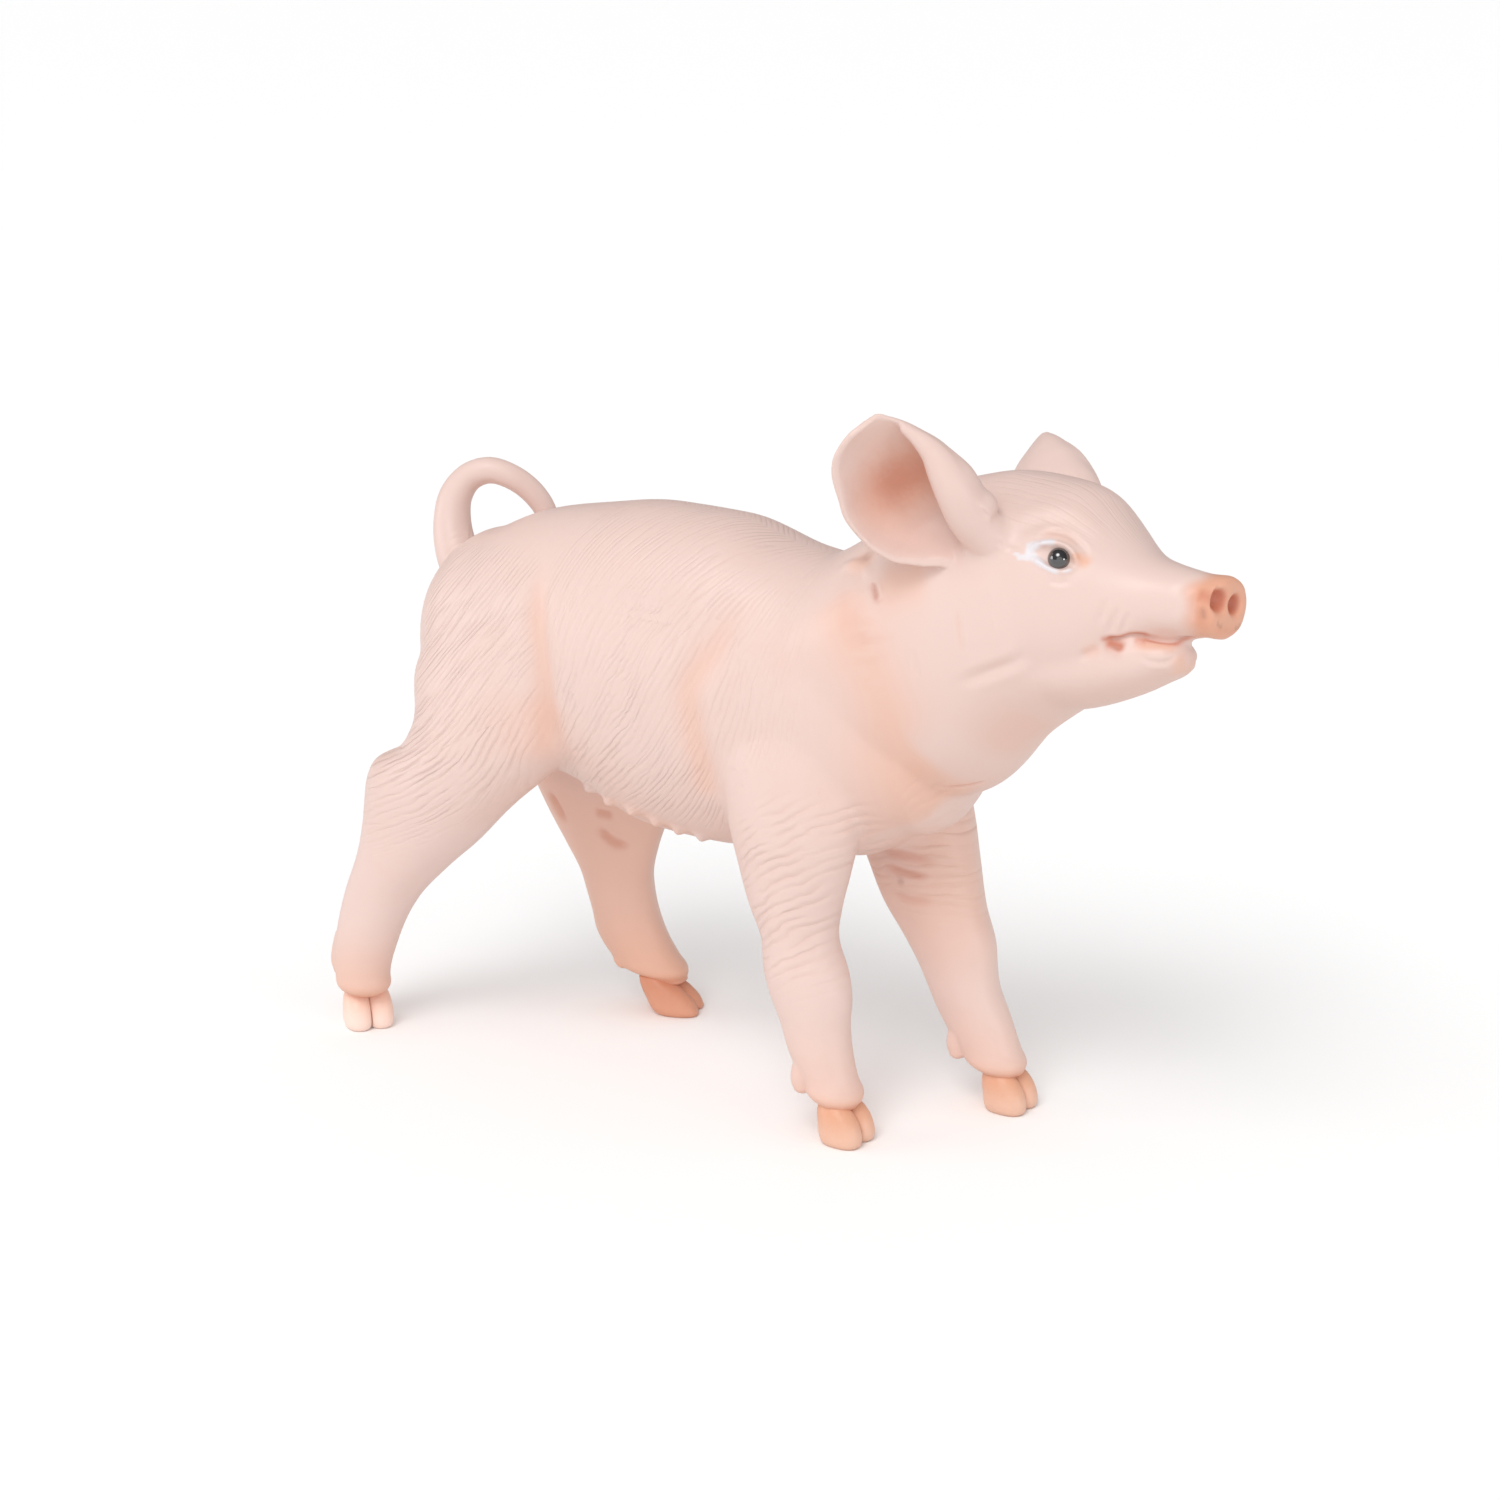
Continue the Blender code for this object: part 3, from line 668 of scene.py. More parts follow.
@dataclass(frozen=True)
class Body:
    """Trunk and neck."""

    trunk: Rows = (
        (-37.0, 0.0, 54.6, 13.0, 13.7, 14.5, 2.2), (-32.0, 0.0, 55.0, 13.6, 15.6, 16.0),
        (-22.0, 0.0, 54.5, 14.4, 18.3, 18.0), (-12.0, 0.0, 54.0, 15.2, 20.0, 21.6),
        (-2.0, 0.0, 54.0, 15.2, 19.6, 22.2), (8.0, 0.0, 54.0, 14.6, 16.8, 21.2),
        (17.0, 0.0, 54.0, 13.6, 15.4, 20.8), (25.0, 0.0, 53.5, 12.0, 13.6, 16.4))
    neck: Rows = (
        (6.0, 0.0, 56.0, 12.5, 13.6, 15.0, SECTION, 0.0),
        (16.0, 0.0, 59.0, 13.3, 11.9, 18.0, SECTION, 1.0),
        (26.0, -0.5, 63.0, 13.6, 13.2, 20.4, SECTION, 5.0),
        (35.0, -1.4, 67.0, 13.2, 14.2, 16.8, SECTION, 10.0),
        (42.0, -2.1, 69.5, 12.2, 14.0, 14.2, SECTION, 13.0))

    def forms(self) -> list[Surface]:
        """The two overlapping bodies."""
        trunk = Loft(self.trunk, caps=(10.7, 8.6), around=64, plane=AHEAD, power=SECTION)
        return [trunk.surface(), Loft(self.neck, caps=(4.0, 4.0), around=64).surface()]


@dataclass(frozen=True)
class Head:
    """Skull with its snout, and lower jaw, in the head's own frame."""

    where: HeadFrame = HeadFrame()
    skull: Rows = (
        (-14.0, 0.0, -1.0, 11.5, 12.5, 13.5), (-7.0, 0.0, -0.5, 12.0, 13.6, 14.0),
        (0.0, 0.0, 0.0, 11.3, 12.8, 13.0), (5.0, 0.0, 0.0, 9.6, 10.2, 11.0),
        (9.0, 0.0, 0.3, 7.4, 7.0, 7.0), (13.0, 0.0, 0.9, 5.4, 4.5, 4.6),
        (17.0, 0.0, 1.2, 4.2, 3.6, 3.9), (18.8, 0.0, 1.3, 3.7, 3.4, 3.6),
        (19.9, 0.0, 1.3, 3.95, 3.65, 3.8), (20.9, 0.0, 1.3, 3.7, 3.45, 3.6))
    jaw: Rows = (
        (-6.0, 0.0, -7.5, 9.0, 5.0, 6.8), (2.0, 0.0, -7.2, 8.0, 4.4, 6.1),
        (9.0, 0.0, -6.0, 5.8, 2.6, 4.7), (14.6, 0.0, -4.8, 4.0, 1.3, 2.9))
    eye_at: Point = (4.0, 9.25, 3.9)
    bead_at: Point = (3.7, 9.2, 3.75)

    def forms(self) -> list[Surface]:
        """Skull and jaw, placed on the neck."""
        skull = Loft(self.skull, caps=(0.0, 0.4), around=56, pace=0.6, power=SECTION).surface()
        jaw = Loft(self.jaw, caps=(3.0, 2.2), around=48, pace=0.6, power=SECTION).surface()
        return [(self.where.to_body(points), faces) for points, faces in (skull, jaw)]


@dataclass(frozen=True)
class Leg:
    """One leg, cut in level slices from the shoulder or hip down to its coronet."""

    name: str
    stations: Rows
    dewclaws_at: Point
    toe_out: float

    def form(self) -> Surface:
        """The leg down to the coronet."""
        return Loft(self.stations, AHEAD, (4.0, 0.8), around=40, pace=0.9, plane=LEVEL).surface()

    def dewclaws(self) -> list[Surface]:
        """Two small blunt claws hanging behind the pastern."""
        pair = []
        for hand in Hand:
            path = ((0.9, hand.value * 1.5, 3.2, 1.2, 1.2, 1.2),
                    (0.3, hand.value * 1.8, 1.0, 1.3, 1.3, 1.3),
                    (0.0, hand.value * 2.0, -0.9, 1.25, 1.35, 1.3),
                    (0.3, hand.value * 2.0, -2.0, 0.95, 1.0, 1.0))
            points, faces = Loft(path, AHEAD, (0.5, 0.7), around=24, pace=0.3).surface()
            pair.append((turned(points, self.toe_out) + np.asarray(self.dewclaws_at), faces))
        return pair


LEGS = (
    Leg("front_right", (
        (9.0, -5.0, 58.0, 6.0, 9.0, 9.0), (10.5, -8.1, 48.0, 6.8, 9.5, 9.0),
        (12.0, -9.6, 40.0, 6.4, 9.0, 8.6), (12.6, -9.9, 33.0, 5.7, 7.2, 7.2),
        (12.8, -10.0, 28.5, 5.2, 5.9, 5.9), (13.6, -10.2, 24.5, 4.7, 4.8, 4.8),
        (14.5, -10.4, 20.5, 4.6, 5.7, 5.4), (15.3, -10.5, 17.5, 4.4, 5.4, 5.3),
        (16.1, -10.7, 14.0, 3.9, 4.5, 4.4), (16.8, -10.9, 11.0, 3.8, 4.3, 4.0),
        (18.0, -11.0, 8.0, 3.5, 3.9, 3.4), (19.1, -11.1, 6.0, 3.5, 3.5, 3.1),
        (20.0, -11.2, 4.6, 3.3, 2.95, 2.95)), (15.6, -11.0, 8.6), -4.0),
    Leg("front_left", (
        (13.0, 5.5, 56.0, 6.0, 9.0, 9.0), (15.5, 7.5, 46.0, 6.6, 9.2, 9.0),
        (18.0, 8.4, 38.0, 6.5, 8.6, 8.4), (20.3, 8.6, 30.5, 6.0, 7.5, 7.5),
        (22.0, 8.6, 25.0, 5.2, 6.9, 6.8), (24.2, 8.6, 21.0, 4.7, 6.1, 6.2),
        (25.6, 8.6, 17.5, 4.3, 5.0, 5.4), (26.6, 8.5, 15.0, 4.1, 4.5, 5.1),
        (27.8, 8.5, 12.0, 3.8, 4.8, 4.9), (29.5, 8.5, 8.5, 3.6, 4.5, 4.2),
        (31.0, 8.5, 6.0, 3.5, 3.9, 3.5), (32.1, 8.5, 4.6, 3.35, 3.1, 3.1)), (26.6, 8.6, 8.8), -4.0),
    Leg("hind_right", (
        (-25.0, -2.5, 67.0, 5.0, 10.0, 11.0), (-27.0, -5.6, 60.0, 7.6, 13.0, 14.0),
        (-30.0, -7.9, 52.0, 8.2, 13.5, 14.6), (-34.0, -9.6, 43.5, 7.7, 14.3, 10.4),
        (-36.0, -10.1, 40.6, 7.3, 13.7, 10.0), (-38.3, -10.5, 37.7, 6.8, 12.8, 12.6),
        (-39.6, -10.7, 35.5, 6.5, 11.5, 12.3), (-41.1, -10.8, 33.0, 6.1, 10.3, 11.2),
        (-43.5, -11.0, 29.0, 5.3, 8.9, 9.3), (-46.9, -11.2, 24.3, 4.6, 7.0, 7.0),
        (-50.3, -11.4, 19.5, 4.0, 5.7, 5.5), (-52.2, -11.6, 15.2, 3.8, 4.9, 4.8),
        (-53.2, -11.8, 12.0, 3.7, 4.6, 4.4), (-53.8, -11.9, 9.0, 3.6, 4.1, 4.0),
        (-53.7, -12.0, 6.4, 3.4, 3.6, 3.6), (-53.5, -11.8, 4.8, 3.2, 3.2, 3.1)),
        (-56.2, -10.6, 9.4), -40.0),
    Leg("hind_left", (
        (-25.0, 2.5, 67.0, 5.0, 10.0, 11.0), (-27.0, 5.6, 60.0, 7.6, 13.0, 14.0),
        (-28.8, 8.0, 50.0, 8.2, 13.0, 15.0), (-29.0, 10.2, 40.0, 7.4, 12.2, 13.2),
        (-29.2, 11.0, 32.5, 6.5, 10.9, 11.6), (-29.8, 11.6, 27.3, 5.2, 9.0, 9.0),
        (-29.6, 12.2, 23.0, 4.6, 6.9, 6.9), (-29.1, 12.8, 18.6, 4.2, 5.2, 5.2),
        (-28.4, 13.4, 14.2, 4.0, 4.9, 5.0), (-27.0, 14.0, 10.0, 3.7, 5.0, 6.0),
        (-25.2, 14.4, 7.3, 3.6, 4.8, 6.2), (-23.6, 14.8, 5.2, 3.4, 4.2, 4.7),
        (-22.4, 15.0, 4.2, 3.2, 3.0, 3.4)), (-28.7, 14.6, 8.2), 10.0),
)


@dataclass(frozen=True)
class Tail:
    """A round tail that curls up and over, its tip on the rump: x, y, z and radius."""

    path: Rows = (
        (-41.4, -0.5, 59.5, 3.5), (-45.0, 0.0, 63.6, 2.9), (-46.6, 1.0, 67.5, 2.5),
        (-46.7, 2.0, 70.8, 2.2), (-45.3, 3.0, 73.2, 1.9), (-42.6, 4.0, 74.3, 1.75),
        (-39.9, 5.2, 73.5, 1.65), (-38.0, 6.4, 71.9, 1.6), (-36.4, 7.2, 69.7, 1.5),
        (-35.2, 7.4, 67.0, 1.3))

    def form(self) -> Surface:
        """A round section carried along the curl."""
        rows = tuple((x, y, z, r, r, r) for x, y, z, r in self.path)
        return Loft(rows, (0.0, 1.0, 0.0), (0.0, 1.0), around=28, pace=0.6).surface()


@dataclass(frozen=True)
class Ear:
    """An ear: a cupped leaf whose front edge is rolled over."""

    name: str
    base: Point
    tip: Point
    hind: Point
    hand: Hand
    length: float = 17.4
    thickness: float = 1.1
    flare: float = 1.7
    # Place along the ear, centre, half width and half depth of its section.
    rows: Rows = (
        (-0.12, 3.2, 1.2, 1.0), (-0.05, 2.0, 3.4, 2.6), (0.03, 1.7, 5.3, 4.0), (0.15, 2.65, 6.2, 4.8),
        (0.34, 2.95, 7.0, 4.9), (0.54, 3.2, 6.75, 4.3), (0.70, 3.1, 5.8, 3.3), (0.82, 3.05, 4.95, 2.2),
        (0.91, 2.85, 3.9, 1.2), (0.96, 2.2, 2.75, 0.6), (0.982, 1.6, 1.7, 0.3))
    # The solid roll of the front edge: place along, towards hind, out through the back, radius.
    roll: Rows = (
        (0.80, -1.6, 0.0, 0.55), (0.70, -2.1, -0.1, 0.95), (0.575, -2.4, -0.4, 1.4),
        (0.42, -2.1, -0.7, 2.0), (0.26, -1.6, -0.9, 2.35), (0.10, -1.0, -0.6, 2.5),
        (-0.07, -0.9, 0.1, 2.7), (-0.25, -1.2, 0.8, 3.1))
    # The paint in the cup: strength of orange and of apricot, then the middle and spread of the
    # spot along the ear and round it, both from 0 to 1.
    spots: Rows = (
        (0.62, 0.0, 0.56, 0.17, 0.47, 0.17), (0.28, 0.4, 0.46, 0.24, 0.72, 0.14),
        (0.0, 0.68, 0.52, 0.27, 0.48, 0.26))

    def axes(self) -> tuple[Array, Array, Array]:
        """Along the ear, towards its hind edge, and out through the back of its cup."""
        axis = unit(np.asarray(self.tip, float) - np.asarray(self.base, float))
        across = np.asarray(self.hind, float)
        across = unit(across - axis * (across @ axis))
        return axis, across, self.hand.value * np.cross(axis, across)

    def middle(self, along: int, around: int) -> Array:
        """Middle of the leaf: base + length u axis + (c + a cos s) hind + b sin s away.

        Behind the deepest line, sin s is raised to a power, so that the hind edge flares out.

        Args:
            along: How many rows from the root to the tip.
            around: How many points from the hind edge round to the front edge.

        Returns:
            A grid of points.
        """
        axis, across, away = self.axes()
        u = np.linspace(0, 1, along)[:, None]
        v = np.linspace(0, 1, around)[None, :]
        table = np.array(self.rows)
        where = table[0, 0] + (table[-1, 0] - table[0, 0]) * u[:, 0]
        flow = through(table[:, 0], table[:, 1:], where, np.array([True] * 3))
        rear = np.radians(-15 + 5 * u)
        front = np.radians(218 - 38 * u)
        swing = rear + (front - rear) * v
        bulge = np.sin(swing)
        bulge = np.where(swing < pi / 2, np.sign(bulge) * np.abs(bulge) ** self.flare, bulge)
        points = np.asarray(self.base) + axis * (where[:, None] * self.length)[..., None]
        points = points + across * (flow[:, 0:1] + flow[:, 1:2] * np.cos(swing))[..., None]
        return points + away * (flow[:, 2:3] * bulge)[..., None]

    def form(self, along: int = 61, around: int = 73) -> Surface:
        """The leaf with its thickness, fuller at the root and thinner towards its rims.

        Args:
            along: How many rows from the root to the tip.
            around: How many points from the hind edge round to the front edge.

        Returns:
            The leaf's points and triangles.
        """
        u = np.linspace(0, 1, along)[:, None]
        v = np.linspace(0, 1, around)[None, :]
        rim = smooth(np.minimum(v, 1 - v), -0.02, 0.20) * (1.0 - 0.45 * smooth(u, 0.8, 1.0))
        low = 1.0 + 0.9 * smooth(u, 0.5, 0.15)
        half = self.thickness * (0.36 * low + 0.64 * rim) / 2
        return leaf(self.middle(along, around), half)

    def root_form(self) -> Surface:
        """The rolled front edge, which swells towards the head."""
        axis, across, away = self.axes()
        rows = []
        for high, hind, out, radius in self.roll:
            at = np.asarray(self.base) + axis * high * self.length + across * hind + away * out
            rows.append((*at, radius, radius, radius))
        return Loft(rows, (0.0, 1.0, 0.0), (0.5, 1.5), around=36, pace=0.5).surface()

    def share(self, points: Array) -> Array:
        """1 on the ear, 0 away from it.

        Args:
            points: The skin's points.

        Returns:
            A share from 0 to 1 for each point.
        """
        axis, across, _ = self.axes()
        away = points - np.asarray(self.base)
        return smooth(away @ axis, 0.5, 3.0) * (np.abs(away @ across - 3.0) < 9.5)

    def tint(self, hide: Hide, cover: Cover, along: int = 31, around: int = 45) -> None:
        """Sprays the inside of the cup, deepest against the rolled front edge.

        Each point takes its place in the cup from the nearest point of a grid down its middle,
        and is inside the cup where it lies on the hollow side of that grid.

        Args:
            hide: The skin.
            cover: Cover of each point by each paint, changed in place.
            along: How many rows the grid has.
            around: How many points each row has.
        """
        axis = self.axes()[0]
        away = hide.points - np.asarray(self.base)
        near = np.nonzero((np.linalg.norm(away - axis * 9.0, axis=1) < 16.0) & (away @ axis > -2.0))[0]
        middle = self.middle(along, around)
        normal = grid_normals(middle)
        inward = np.sign(np.einsum("ijk,ijk->", normal, middle.mean((0, 1)) - middle))
        grid = middle.reshape(-1, 3)
        chosen = hide.points[near]
        nearest = np.concatenate([((part[:, None, :] - grid[None]) ** 2).sum(-1).argmin(1)
                                  for part in np.array_split(chosen, max(1, len(chosen) // 2000))])
        facing = np.einsum("ij,ij->i", chosen - grid[nearest], inward * normal.reshape(-1, 3)[nearest])
        inside = smooth(facing, -0.1, 0.35)
        high = (nearest // around) / (along - 1)
        turn = (nearest % around) / (around - 1)
        spots = np.array([bell(high, h, dh) * bell(turn, t, dt) for _, _, h, dh, t, dt in self.spots])
        for column, paint in enumerate((Paint.ORANGE, Paint.APRICOT)):
            strengths = np.array(self.spots)[:, column]
            add_paint(cover[paint], near, inside * (strengths @ spots))


EARS = (
    Ear("ear_right", (36.8, -12.4, 78.2), (28.4, -20.0, 91.6), (-0.85, -0.53, 0.0), Hand.RIGHT),
    Ear("ear_left", (39.0, 11.7, 74.1), (28.6, 22.4, 83.1), (-0.84, 0.46, -0.29), Hand.LEFT),
)


# ---------------------------------------------------------------- node tools
@dataclass
class Shop:
    """A small bench for building shader nodes."""

    tree: bpy.types.NodeTree

    @classmethod
    def of_material(cls, name: str) -> tuple["Shop", bpy.types.Material, bpy.types.Node]:
        """The bench of a new material, the material and its Principled node.

        Args:
            name: The material's name.

        Returns:
            The bench, the material and the node.
        """
        made = bpy.data.materials.new(name)
        made.use_nodes = True
        return cls(made.node_tree), made, made.node_tree.nodes["Principled BSDF"]

    @classmethod
    def of_group(cls, name: str, inputs: Sequence[tuple[str, str]], outputs: Sequence[str]) -> tuple[
            "Shop", bpy.types.Node, bpy.types.Node]:
        """An empty shader node group with named sockets.

        Args:
            name: The group's name.
            inputs: Name and kind of each input, the kind one of Float, Vector or Color.
            outputs: Name of each output, a plain number.

        Returns:
            The bench of its tree, its input node and its output node.
        """
        tree = bpy.data.node_groups.new(name, "ShaderNodeTree")
        for label, kind in inputs:
            tree.interface.new_socket(label, in_out="INPUT", socket_type="NodeSocket" + kind)
        for label in outputs:
            tree.interface.new_socket(label, in_out="OUTPUT", socket_type="NodeSocketFloat")
        shop = cls(tree)
        return shop, shop.node("NodeGroupInput"), shop.node("NodeGroupOutput")

    def node(self, kind: str, **settings: object) -> bpy.types.Node:
        """A new node with the given settings.

        Args:
            kind: Blender's name of the node.
            settings: Its settings.

        Returns:
            The node.
        """
        made = self.tree.nodes.new(kind)
        for key, value in settings.items():
            setattr(made, key, value)
        return made

    def join(self, source: object, target: bpy.types.NodeSocket) -> None:
        """Links an output to an input, or sets the input to a plain value.

        Args:
            source: An output, or a plain value.
            target: The input.
        """
        if isinstance(source, bpy.types.NodeSocket):
            self.tree.links.new(source, target)
        else:
            target.default_value = source

    def fill(self, made: bpy.types.Node, values: dict[str, object]) -> None:
        """Joins sockets or plain values to a node's inputs by name."""
        for name, value in values.items():
            self.join(value, made.inputs[name])

    def run(self, kind: str, *values: object, **settings: object) -> Sequence[bpy.types.NodeSocket]:
        """A new node on the given values.

        Args:
            kind: Blender's name of the node.
            values: Sockets or plain values for its first inputs.
            settings: Its settings.

        Returns:
            The node's outputs.
        """
        made = self.node(kind, **settings)
        for value, target in zip(values, made.inputs):
            self.join(value, target)
        return made.outputs

    def math(self, operation: str, *values: object, clamp: bool = False) -> bpy.types.NodeSocket:
        """A Math node on the given values; clamp holds the answer between 0 and 1."""
        return self.run("ShaderNodeMath", *values, operation=operation, use_clamp=clamp)[0]

    def mix(self, share: object, first: object, second: object) -> bpy.types.NodeSocket:
        """A colour mix from first to second by share.

        Args:
            share: Share of the second.
            first: A colour.
            second: A colour.

        Returns:
            The mixed colour.
        """
        made = self.node("ShaderNodeMix", data_type="RGBA", blend_type="MIX")
        for value, slot in ((share, 0), (first, 6), (second, 7)):
            self.join(value, made.inputs[slot])
        return made.outputs[2]

    def mix_numbers(self, share: object, first: object, second: object) -> bpy.types.NodeSocket:
        """A mix of two numbers by share.

        Args:
            share: Share of the second.
            first: A number.
            second: A number.

        Returns:
            The mixed number.
        """
        made = self.node("ShaderNodeMix", data_type="FLOAT")
        for value, slot in ((share, 0), (first, 2), (second, 3)):
            self.join(value, made.inputs[slot])
        return made.outputs[0]

    def step(self, value: object, low: float, high: float) -> bpy.types.NodeSocket:
        """A smooth step of a value from 0 at low to 1 at high."""
        return self.run("ShaderNodeMapRange", value, low, high, interpolation_type="SMOOTHSTEP")[0]

    def noise(self, vector: object, scale: float, detail: float = 2.0) -> bpy.types.NodeSocket:
        """A noise value at a vector.

        Args:
            vector: Where it is read.
            scale: Its scale.
            detail: Its detail.

        Returns:
            The noise, from 0 to 1.
        """
        made = self.node("ShaderNodeTexNoise")
        self.fill(made, {"Vector": vector, "Scale": scale, "Detail": detail})
        return made.outputs["Fac"]

    def bump(self, height: object, distance: float) -> bpy.types.NodeSocket:
        """A normal bent by a height.

        Args:
            height: The height.
            distance: How high a height of 1 stands, in metres.

        Returns:
            The normal.
        """
        made = self.node("ShaderNodeBump")
        self.fill(made, {"Strength": 1.0, "Distance": distance, "Height": height})
        return made.outputs[0]

    def place(self) -> bpy.types.NodeSocket:
        """The place on the object, in metres."""
        return self.node("ShaderNodeTexCoord").outputs["Object"]

    def channels(self, attribute: str) -> Sequence[bpy.types.NodeSocket]:
        """The three numbers of a named colour attribute."""
        colour = self.node("ShaderNodeAttribute", attribute_name=attribute).outputs["Color"]
        return self.run("ShaderNodeSeparateColor", colour)


def combed_lines() -> bpy.types.NodeTree:
    """Combed lines: grooves across a coordinate, wavy, broken along it and even in pitch.

    The height is a rounded ridge |sin(pi s)| of the coordinate s over the pitch, bent by noise.
    Where the lines would crowd together by 2^k, every second one is left out, so the group mixes
    the grooves of s / 2^floor(k) with those of half that pace by how far k is past its floor.

    Returns:
        The node group, with Comb (across, along, crowding), Pitch and Length in and Height out.
    """
    shop, inlet, outlet = Shop.of_group(
        "combed_lines", [("Comb", "Vector"), ("Pitch", "Float"), ("Length", "Float")], ["Height"])
    across, along, crowd = shop.run("ShaderNodeSeparateXYZ", inlet.outputs["Comb"])
    floor = shop.math("FLOOR", crowd)
    run = shop.math("DIVIDE", along, inlet.outputs["Length"])
    heights = []
    for octave in (0.0, 1.0):
        power = shop.math("POWER", 0.5, shop.math("ADD", floor, octave))
        paced = shop.math("DIVIDE", shop.math("MULTIPLY", across, power), inlet.outputs["Pitch"])
        bend = shop.run("ShaderNodeCombineXYZ", shop.math("MULTIPLY", paced, 0.30),
                        shop.math("MULTIPLY", run, 1.1), 7.0 + octave)[0]
        sway = shop.math("SUBTRACT", shop.noise(bend, 1.0), 0.5)
        bent = shop.math("ADD", paced, shop.math("MULTIPLY", sway, 1.7))
        ridge = shop.math("ABSOLUTE", shop.math("SINE", shop.math("MULTIPLY", bent, pi)))
        gate = shop.run("ShaderNodeCombineXYZ", bent, run, 3.0 + octave)[0]
        open_part = shop.step(shop.noise(gate, 1.0, 1.0), 0.30, 0.62)
        cut = shop.math("SUBTRACT", 1.0, shop.math("POWER", ridge, 1.15))
        heights.append(shop.math("SUBTRACT", 1.0, shop.math("MULTIPLY", cut, open_part)))
    share = shop.step(shop.math("SUBTRACT", crowd, floor), 0.15, 0.85)
    shop.join(shop.mix_numbers(share, *heights), outlet.inputs["Height"])
    return shop.tree


def hand_mottle() -> bpy.types.NodeTree:
    """The faint unevenness of sprayed paint: two noises of different grain, in metres.

    Returns:
        The node group, with Position in, and Tone (about 0) and Pores out.
    """
    shop, inlet, outlet = Shop.of_group("hand_mottle", [("Position", "Vector")], ["Tone", "Pores"])
    at = inlet.outputs[0]
    broad = shop.math("SUBTRACT", shop.noise(at, 90.0, 3.0), 0.5)
    fine = shop.math("SUBTRACT", shop.noise(at, 900.0, 3.0), 0.5)
    shop.fill(outlet, {"Tone": shop.math("ADD", broad, shop.math("MULTIPLY", fine, 0.5)),
                       "Pores": shop.noise(at, 2600.0)})
    return shop.tree


@dataclass(frozen=True)
class Groups:
    """The effects shared by the finishes."""

    combed: bpy.types.NodeTree
    mottle: bpy.types.NodeTree


# ---------------------------------------------------------------- finishes
@dataclass(frozen=True)
class VinylFinish:
    """Painted vinyl: pale pink, with sprayed colours read from the piece's paint attributes and painted
    shade in the hair's grooves.
    """

    name: str = "painted_vinyl"
    pink: Colour = (0.745, 0.558, 0.503, 1.0)
    # Tint of the painted shade in the hair's grooves.
    groove_shade_tint: Colour = (1.0, 0.84, 0.76, 1.0)
    apricot: Colour = (0.78, 0.41, 0.27, 1.0)
    orange: Colour = (0.56, 0.17, 0.09, 1.0)
    brown: Colour = (0.36, 0.17, 0.12, 1.0)
    white: Colour = (0.74, 0.71, 0.74, 1.0)
    red: Colour = (0.52, 0.17, 0.12, 1.0)
    roughness: float = 0.42
    pitch: float = 0.8
    strand: float = 8.0
    groove_depth: float = 0.00019

    def build(self, groups: Groups) -> bpy.types.Material:
        """The material.

        Args:
            groups: Shared effects.

        Returns:
            A material whose colour mixes pink with the sprayed colours, darkened as painted shade in the
            hair's grooves, and whose bump is combed.
        """
        shop, made, shader = Shop.of_material(self.name)
        tone, pores = shop.run("ShaderNodeGroup", shop.place(), node_tree=groups.mottle)
        # The apricot channel includes painted shade under the belly and the right ear.
        apricot, orange, brown = shop.channels("sprayed")
        white, red, coat = shop.channels("brushed")
        comb = shop.node("ShaderNodeAttribute", attribute_name="comb").outputs["Vector"]
        height = shop.run("ShaderNodeGroup", comb, self.pitch, self.strand, node_tree=groups.combed)[0]
        # Painted shade: the pink darkens where the hair's grooves are cut, mixed with the mottle's random
        # tone.
        sunk = shop.math("MULTIPLY", shop.math("SUBTRACT", 1.0, height), coat)
        deeper = tuple(a * b for a, b in zip(self.pink, self.groove_shade_tint))
        share = shop.math("ADD", shop.math("MULTIPLY", sunk, 0.32), shop.math("MULTIPLY", tone, 0.5),
                          clamp=True)
        colour = shop.mix(share, self.pink, deeper)
        for mask, paint in ((apricot, self.apricot), (orange, self.orange), (brown, self.brown),
                            (red, self.red), (white, self.white)):
            colour = shop.mix(mask, colour, paint)
        relief = shop.math("ADD", shop.math("MULTIPLY", sunk, -1.0), shop.math("MULTIPLY", pores, 0.04))
        shop.fill(shader, {"Base Color": colour, "Roughness": self.roughness,
                           "Normal": shop.bump(relief, self.groove_depth)})
        return made


@dataclass(frozen=True)
class HoofFinish:
    """Vinyl painted orange pink, deeper towards the coronet."""

    name: str = "hoof_paint"
    low: Colour = (0.78, 0.48, 0.355, 1.0)
    high: Colour = (0.73, 0.37, 0.235, 1.0)
    roughness: float = 0.4
    pore_depth: float = 0.00005

    def paler(self) -> "HoofFinish":
        """Paler colours for the near hind trotter."""
        return HoofFinish(self.name + "_pale", (0.92, 0.70, 0.61, 1.0), (0.90, 0.58, 0.46, 1.0))

    def deeper(self) -> "HoofFinish":
        """Deeper colours for the far hind trotter."""
        return HoofFinish(self.name + "_deep", (0.72, 0.34, 0.22, 1.0), (0.66, 0.28, 0.17, 1.0))

    def build(self, groups: Groups) -> bpy.types.Material:
        """The material, shaded by height above the sole.

        Args:
            groups: Shared effects.

        Returns:
            The material.
        """
        shop, made, shader = Shop.of_material(self.name)
        place = shop.place()
        tone, pores = shop.run("ShaderNodeGroup", place, node_tree=groups.mottle)
        rise = shop.step(shop.run("ShaderNodeSeparateXYZ", place)[2], 0.0008, 0.0048)
        share = shop.math("ADD", rise, shop.math("MULTIPLY", tone, 0.6), clamp=True)
        shop.fill(shader, {"Base Color": shop.mix(share, self.low, self.high),
                           "Roughness": self.roughness, "Normal": shop.bump(pores, self.pore_depth)})
        return made


